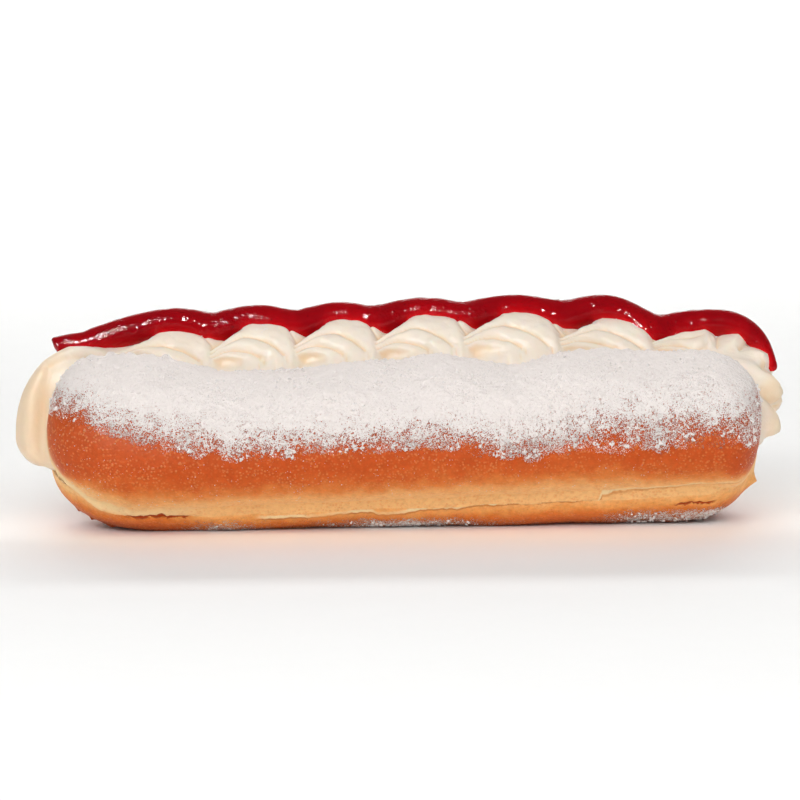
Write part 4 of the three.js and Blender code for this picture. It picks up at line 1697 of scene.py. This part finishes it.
@dataclass(frozen=True)
class CreamFinish:
    """Whipped cream: soft and satin, with painted shade of peach in the grooves and yellow deep in the
    hollows.

    The ramp turns the painted shade of the hollows and the ends into colour. Creases get a peach
    painted shade, and a smear of jam lies over it at one place.
    """

    # painted shade: the ramp darkens the cream to peach and yellow in the hollows and on the ends
    tones: tuple[tuple[float, Colour], ...] = (
        (0.0, linear(250, 236, 220)), (0.3, linear(245, 221, 190)), (0.65, linear(246, 208, 146)),
        (1.0, linear(240, 188, 88)))
    # painted shade: the peach laid into the creases of the cream
    painted_crease_shade: Colour = linear(242, 208, 162)
    painted_crease_shade_share: float = 0.5
    smear: Colour = linear(196, 40, 60)
    smear_noise: tuple[float, float] = (900.0, 2.0)
    smear_edge: tuple[float, float] = (0.9, 1.05)
    grain: tuple[float, float] = (300.0, 0.05)
    relief: float = 0.00022
    roughness: float = 0.34
    gloss: float = 0.08
    inner_share: float = 0.3
    inner_colour: Colour = (1.0, 0.6, 0.38)
    depth: float = 0.0012

    def build(self, effects: Effects) -> bpy.types.Material:
        """Makes the material."""
        dress = Dressing("whipped_cream_satin", effects)
        graph = dress.graph
        fine = dress.grain(*self.grain)
        # painted shade: darker, yellower cream in the hollows and on the ends
        colour = dress.tint(graph.ramp(graph.value("painted_hollow_shade"), self.tones), fine.outputs["Shade"])
        # painted shade: peach tint where the surface folds inwards
        painted_crease_shade_amount = graph.product(graph.value("painted_crease_shade"), self.painted_crease_shade_share)
        colour = graph.blend(painted_crease_shade_amount, colour, self.painted_crease_shade)
        ragged = graph.sum(graph.value("smear"), graph.noise(dress.place, *self.smear_noise))
        colour = graph.blend(graph.spread(ragged, *self.smear_edge), colour, self.smear)
        dress.bump(fine.outputs["Height"], self.relief)
        return dress.set(Base_Color=colour, Roughness=self.roughness, Specular_IOR_Level=self.gloss,
                         Subsurface_Weight=self.inner_share, Subsurface_Radius=self.inner_colour,
                         Subsurface_Scale=self.depth)


@dataclass(frozen=True)
class JamFinish:
    """Wet red jam: bright where it is thin over the cream, deep where it is thick.

    The thickness in millimetres, moved by noise, runs through a colour ramp. Small dark seeds are
    the middles of a few random cells.
    """

    full: float = 4.0
    tones: tuple[tuple[float, Colour], ...] = (
        (0.0, linear(222, 30, 34)), (0.15, linear(192, 8, 18)), (0.45, linear(172, 3, 15)),
        (1.0, linear(152, 2, 14)))
    cloud: float = 1.8
    cloud_noise: tuple[float, float] = (210.0, 3.0)
    seed: Colour = linear(104, 2, 12)
    seed_scale: float = 500.0
    seed_edge: tuple[float, float] = (0.16, 0.08)
    seed_noise: tuple[float, float] = (380.0, 1.0)
    seed_range: tuple[float, float] = (0.55, 0.6)
    seed_share: float = 0.7
    grain: tuple[float, float] = (330.0, 0.16)
    bump_noise: tuple[float, float, float] = (1100.0, 2.0, 0.5)
    bump_patches: tuple[float, float] = (160.0, 2.0)
    bump_range: tuple[float, float, float, float] = (0.42, 0.6, 0.15, 0.8)
    relief: float = 0.0004
    roughness: float = 0.07
    gloss: float = 0.15
    inner_share: float = 0.2
    inner_colour: Colour = (1.0, 0.06, 0.06)
    depth: float = 0.0012

    def build(self, effects: Effects) -> bpy.types.Material:
        """Makes the material."""
        dress = Dressing("wet_red_jam", effects)
        graph = dress.graph
        cloud = graph.math("SUBTRACT", graph.noise(dress.place, *self.cloud_noise), 0.5)
        thick = graph.sum(graph.value("thickness"), graph.product(cloud, self.cloud))
        colour = graph.ramp(graph.spread(thick, 0.0, self.full, smooth=False), self.tones)
        few = graph.spread(graph.noise(dress.place, *self.seed_noise), *self.seed_range)
        cell = graph.spread(graph.cells(dress.place, self.seed_scale), *self.seed_edge)
        colour = graph.blend(graph.product(cell, few, self.seed_share), colour, self.seed)
        colour = dress.tint(colour, dress.grain(*self.grain).outputs["Shade"])
        patches = graph.spread(graph.noise(dress.place, *self.bump_patches), *self.bump_range)
        dress.bump(graph.product(graph.noise(dress.place, *self.bump_noise), patches), self.relief)
        return dress.set(Base_Color=colour, Roughness=self.roughness, Specular_IOR_Level=self.gloss,
                         Subsurface_Weight=self.inner_share, Subsurface_Radius=self.inner_colour,
                         Subsurface_Scale=self.depth)


@dataclass(frozen=True)
class SugarFinish:
    """Loose icing sugar: dull white powder."""

    sugar: Colour = linear(245, 238, 234)
    grain: tuple[float, float] = (2600.0, 0.1)
    relief: float = 0.00012
    roughness: float = 0.95
    gloss: float = 0.2

    def build(self, effects: Effects) -> bpy.types.Material:
        """Makes the material."""
        dress = Dressing("icing_sugar", effects)
        fine = dress.grain(*self.grain)
        dress.bump(fine.outputs["Height"], self.relief)
        return dress.set(Base_Color=dress.tint(self.sugar, fine.outputs["Shade"]),
                         Roughness=self.roughness, Specular_IOR_Level=self.gloss)


@dataclass(frozen=True)
class FloorFinish:
    """A matt, nearly white floor with a faint tooth."""

    paper: Colour = linear(253, 253, 252)
    grain: tuple[float, float] = (90.0, 0.02)
    roughness: float = 0.9
    gloss: float = 0.15

    def build(self, effects: Effects) -> bpy.types.Material:
        """Makes the material."""
        dress = Dressing("pale_floor", effects)
        colour = dress.tint(self.paper, dress.grain(*self.grain).outputs["Shade"])
        return dress.set(Base_Color=colour, Roughness=self.roughness, Specular_IOR_Level=self.gloss)


# ---- The studio


@dataclass(frozen=True)
class Softbox:
    """A rectangular light: its place, size in metres, power in watts and what it points at.

    A mirrored light only shows in the gloss of surfaces; the others only light them.
    """

    name: str
    place: tuple[float, float, float]
    size: tuple[float, float]
    power: float
    mirrored: bool = False
    target: tuple[float, float, float] = (0.0, 0.0, 0.03)


@dataclass
class Studio:
    """A pale floor that sweeps up behind, soft lights, and the camera at the photograph's angle."""

    elevation: float = 10.0 * DEG
    roll: float = 0.7 * DEG
    distance: float = 0.9
    width_seen: float = 0.19104
    aim_x: float = -0.000255
    aim_height: float = 0.02907
    sensor: float = 36.0
    surroundings: float = 0.2
    lights: tuple[Softbox, ...] = (
        Softbox("key_softbox", (-0.20, -0.76, 0.56), (0.60, 0.20), 1.62),
        Softbox("glint_softbox", (-0.33, -0.70, 0.60), (0.16, 0.26), 28.0, True),
        Softbox("fill_softbox", (0.40, -0.90, 0.10), (0.60, 0.30), 0.8),
        Softbox("overhead_softbox", (0.0, -0.2, 1.2), (1.60, 1.60), 2.1),
        Softbox("floor_softbox", (0.0, -0.60, 0.55), (1.40, 0.40), 3.8, False, (0.0, -0.45, 0.0)),
        Softbox("backdrop_softbox", (0.0, 1.05, 0.90), (1.60, 0.30), 13.0, False, (0.0, 1.1, 0.0)))

    def build_floor(self, material: bpy.types.Material) -> None:
        """A flat floor that turns up into a wall on a quarter circle, as a grid of two lengths."""
        reach, radius, height, front, back = 1.6, 0.5, 1.4, -1.5, 0.9
        flat = np.linspace(front, back, 12)
        bend = np.linspace(0.0, np.pi / 2, 24)
        y = np.concatenate([flat, back + radius * np.sin(bend[1:]), [back + radius]])
        z = np.concatenate([0.0 * flat, radius * (1.0 - np.cos(bend[1:])), [height]])
        x = np.linspace(-reach, reach, 9)
        grid = np.stack(np.broadcast_arrays(x[:, None], y[None], z[None]), -1)
        rows, columns = grid.shape[:2]
        a = (np.arange(rows - 1)[:, None] * columns + np.arange(columns - 1)[None]).ravel()
        faces = np.stack([a, a + columns, a + columns + 1, a + 1], 1)
        mesh = bpy.data.meshes.new("floor_sweep")
        mesh.from_pydata(grid.reshape(-1, 3).tolist(), [], faces.tolist())
        mesh.shade_smooth()
        mesh.materials.append(material)
        floor = bpy.data.objects.new("floor_sweep", mesh)
        bpy.context.scene.collection.objects.link(floor)

    def build_light(self, light: Softbox) -> None:
        """Adds a soft rectangular light and points it at its target."""
        lamp = bpy.data.lights.new(light.name, "AREA")
        lamp.shape, lamp.size, lamp.size_y = "RECTANGLE", *light.size
        lamp.energy = light.power
        item = bpy.data.objects.new(light.name, lamp)
        item.location = light.place
        item.visible_glossy = light.mirrored
        item.visible_diffuse = not light.mirrored
        towards = Vector(light.target) - Vector(light.place)
        item.rotation_euler = towards.to_track_quat("-Z", "Y").to_euler()
        bpy.context.scene.collection.objects.link(item)

    def build_camera(self) -> None:
        """Sets the camera square to the bun's length, a little above it and slightly rolled."""
        ce, se = math.cos(self.elevation), math.sin(self.elevation)
        cr, sr = math.cos(self.roll), math.sin(self.roll)
        along, upward = Vector((1.0, 0.0, 0.0)), Vector((0.0, se, ce))
        right = cr * along - sr * upward
        up = sr * along + cr * upward
        back = Vector((0.0, -ce, se))
        target = Vector((self.aim_x, self.aim_height * se, self.aim_height * ce))
        place = target + back * self.distance
        data = bpy.data.cameras.new("camera")
        data.sensor_width = self.sensor
        data.lens = self.sensor * self.distance / self.width_seen
        camera = bpy.data.objects.new("camera", data)
        camera.matrix_world = Matrix((
            (right.x, up.x, back.x, place.x), (right.y, up.y, back.y, place.y),
            (right.z, up.z, back.z, place.z), (0.0, 0.0, 0.0, 1.0)))
        bpy.context.scene.collection.objects.link(camera)
        bpy.context.scene.camera = camera

    def build(self, effects: Effects) -> None:
        """Builds the floor, the lights, the even surroundings and the camera."""
        self.build_floor(FloorFinish().build(effects))
        self.build_camera()
        for light in self.lights:
            self.build_light(light)
        world = bpy.data.worlds.new("studio")
        world.use_nodes = True
        world.node_tree.nodes["Background"].inputs["Color"].default_value = (1.0, 1.0, 1.0, 1.0)
        world.node_tree.nodes["Background"].inputs["Strength"].default_value = self.surroundings
        bpy.context.scene.world = world
        bpy.context.scene.view_settings.view_transform = "Standard"


def main() -> None:
    """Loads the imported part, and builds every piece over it."""
    logging.basicConfig(level=logging.INFO, format="%(name)s: %(message)s")
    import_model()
    effects = Effects.build()
    Studio().build(effects)
    bun = Bun(Stance())
    bun.build(CrustFinish().build(effects), CrumbFinish().build(effects))
    cream = CreamRope(bun)
    cream.build(CreamFinish().build(effects))
    JamRope(cream).build(JamFinish().build(effects))
    Dusting(bun, cream).build(SugarFinish().build(effects))


if __name__ == "__main__":
    main()
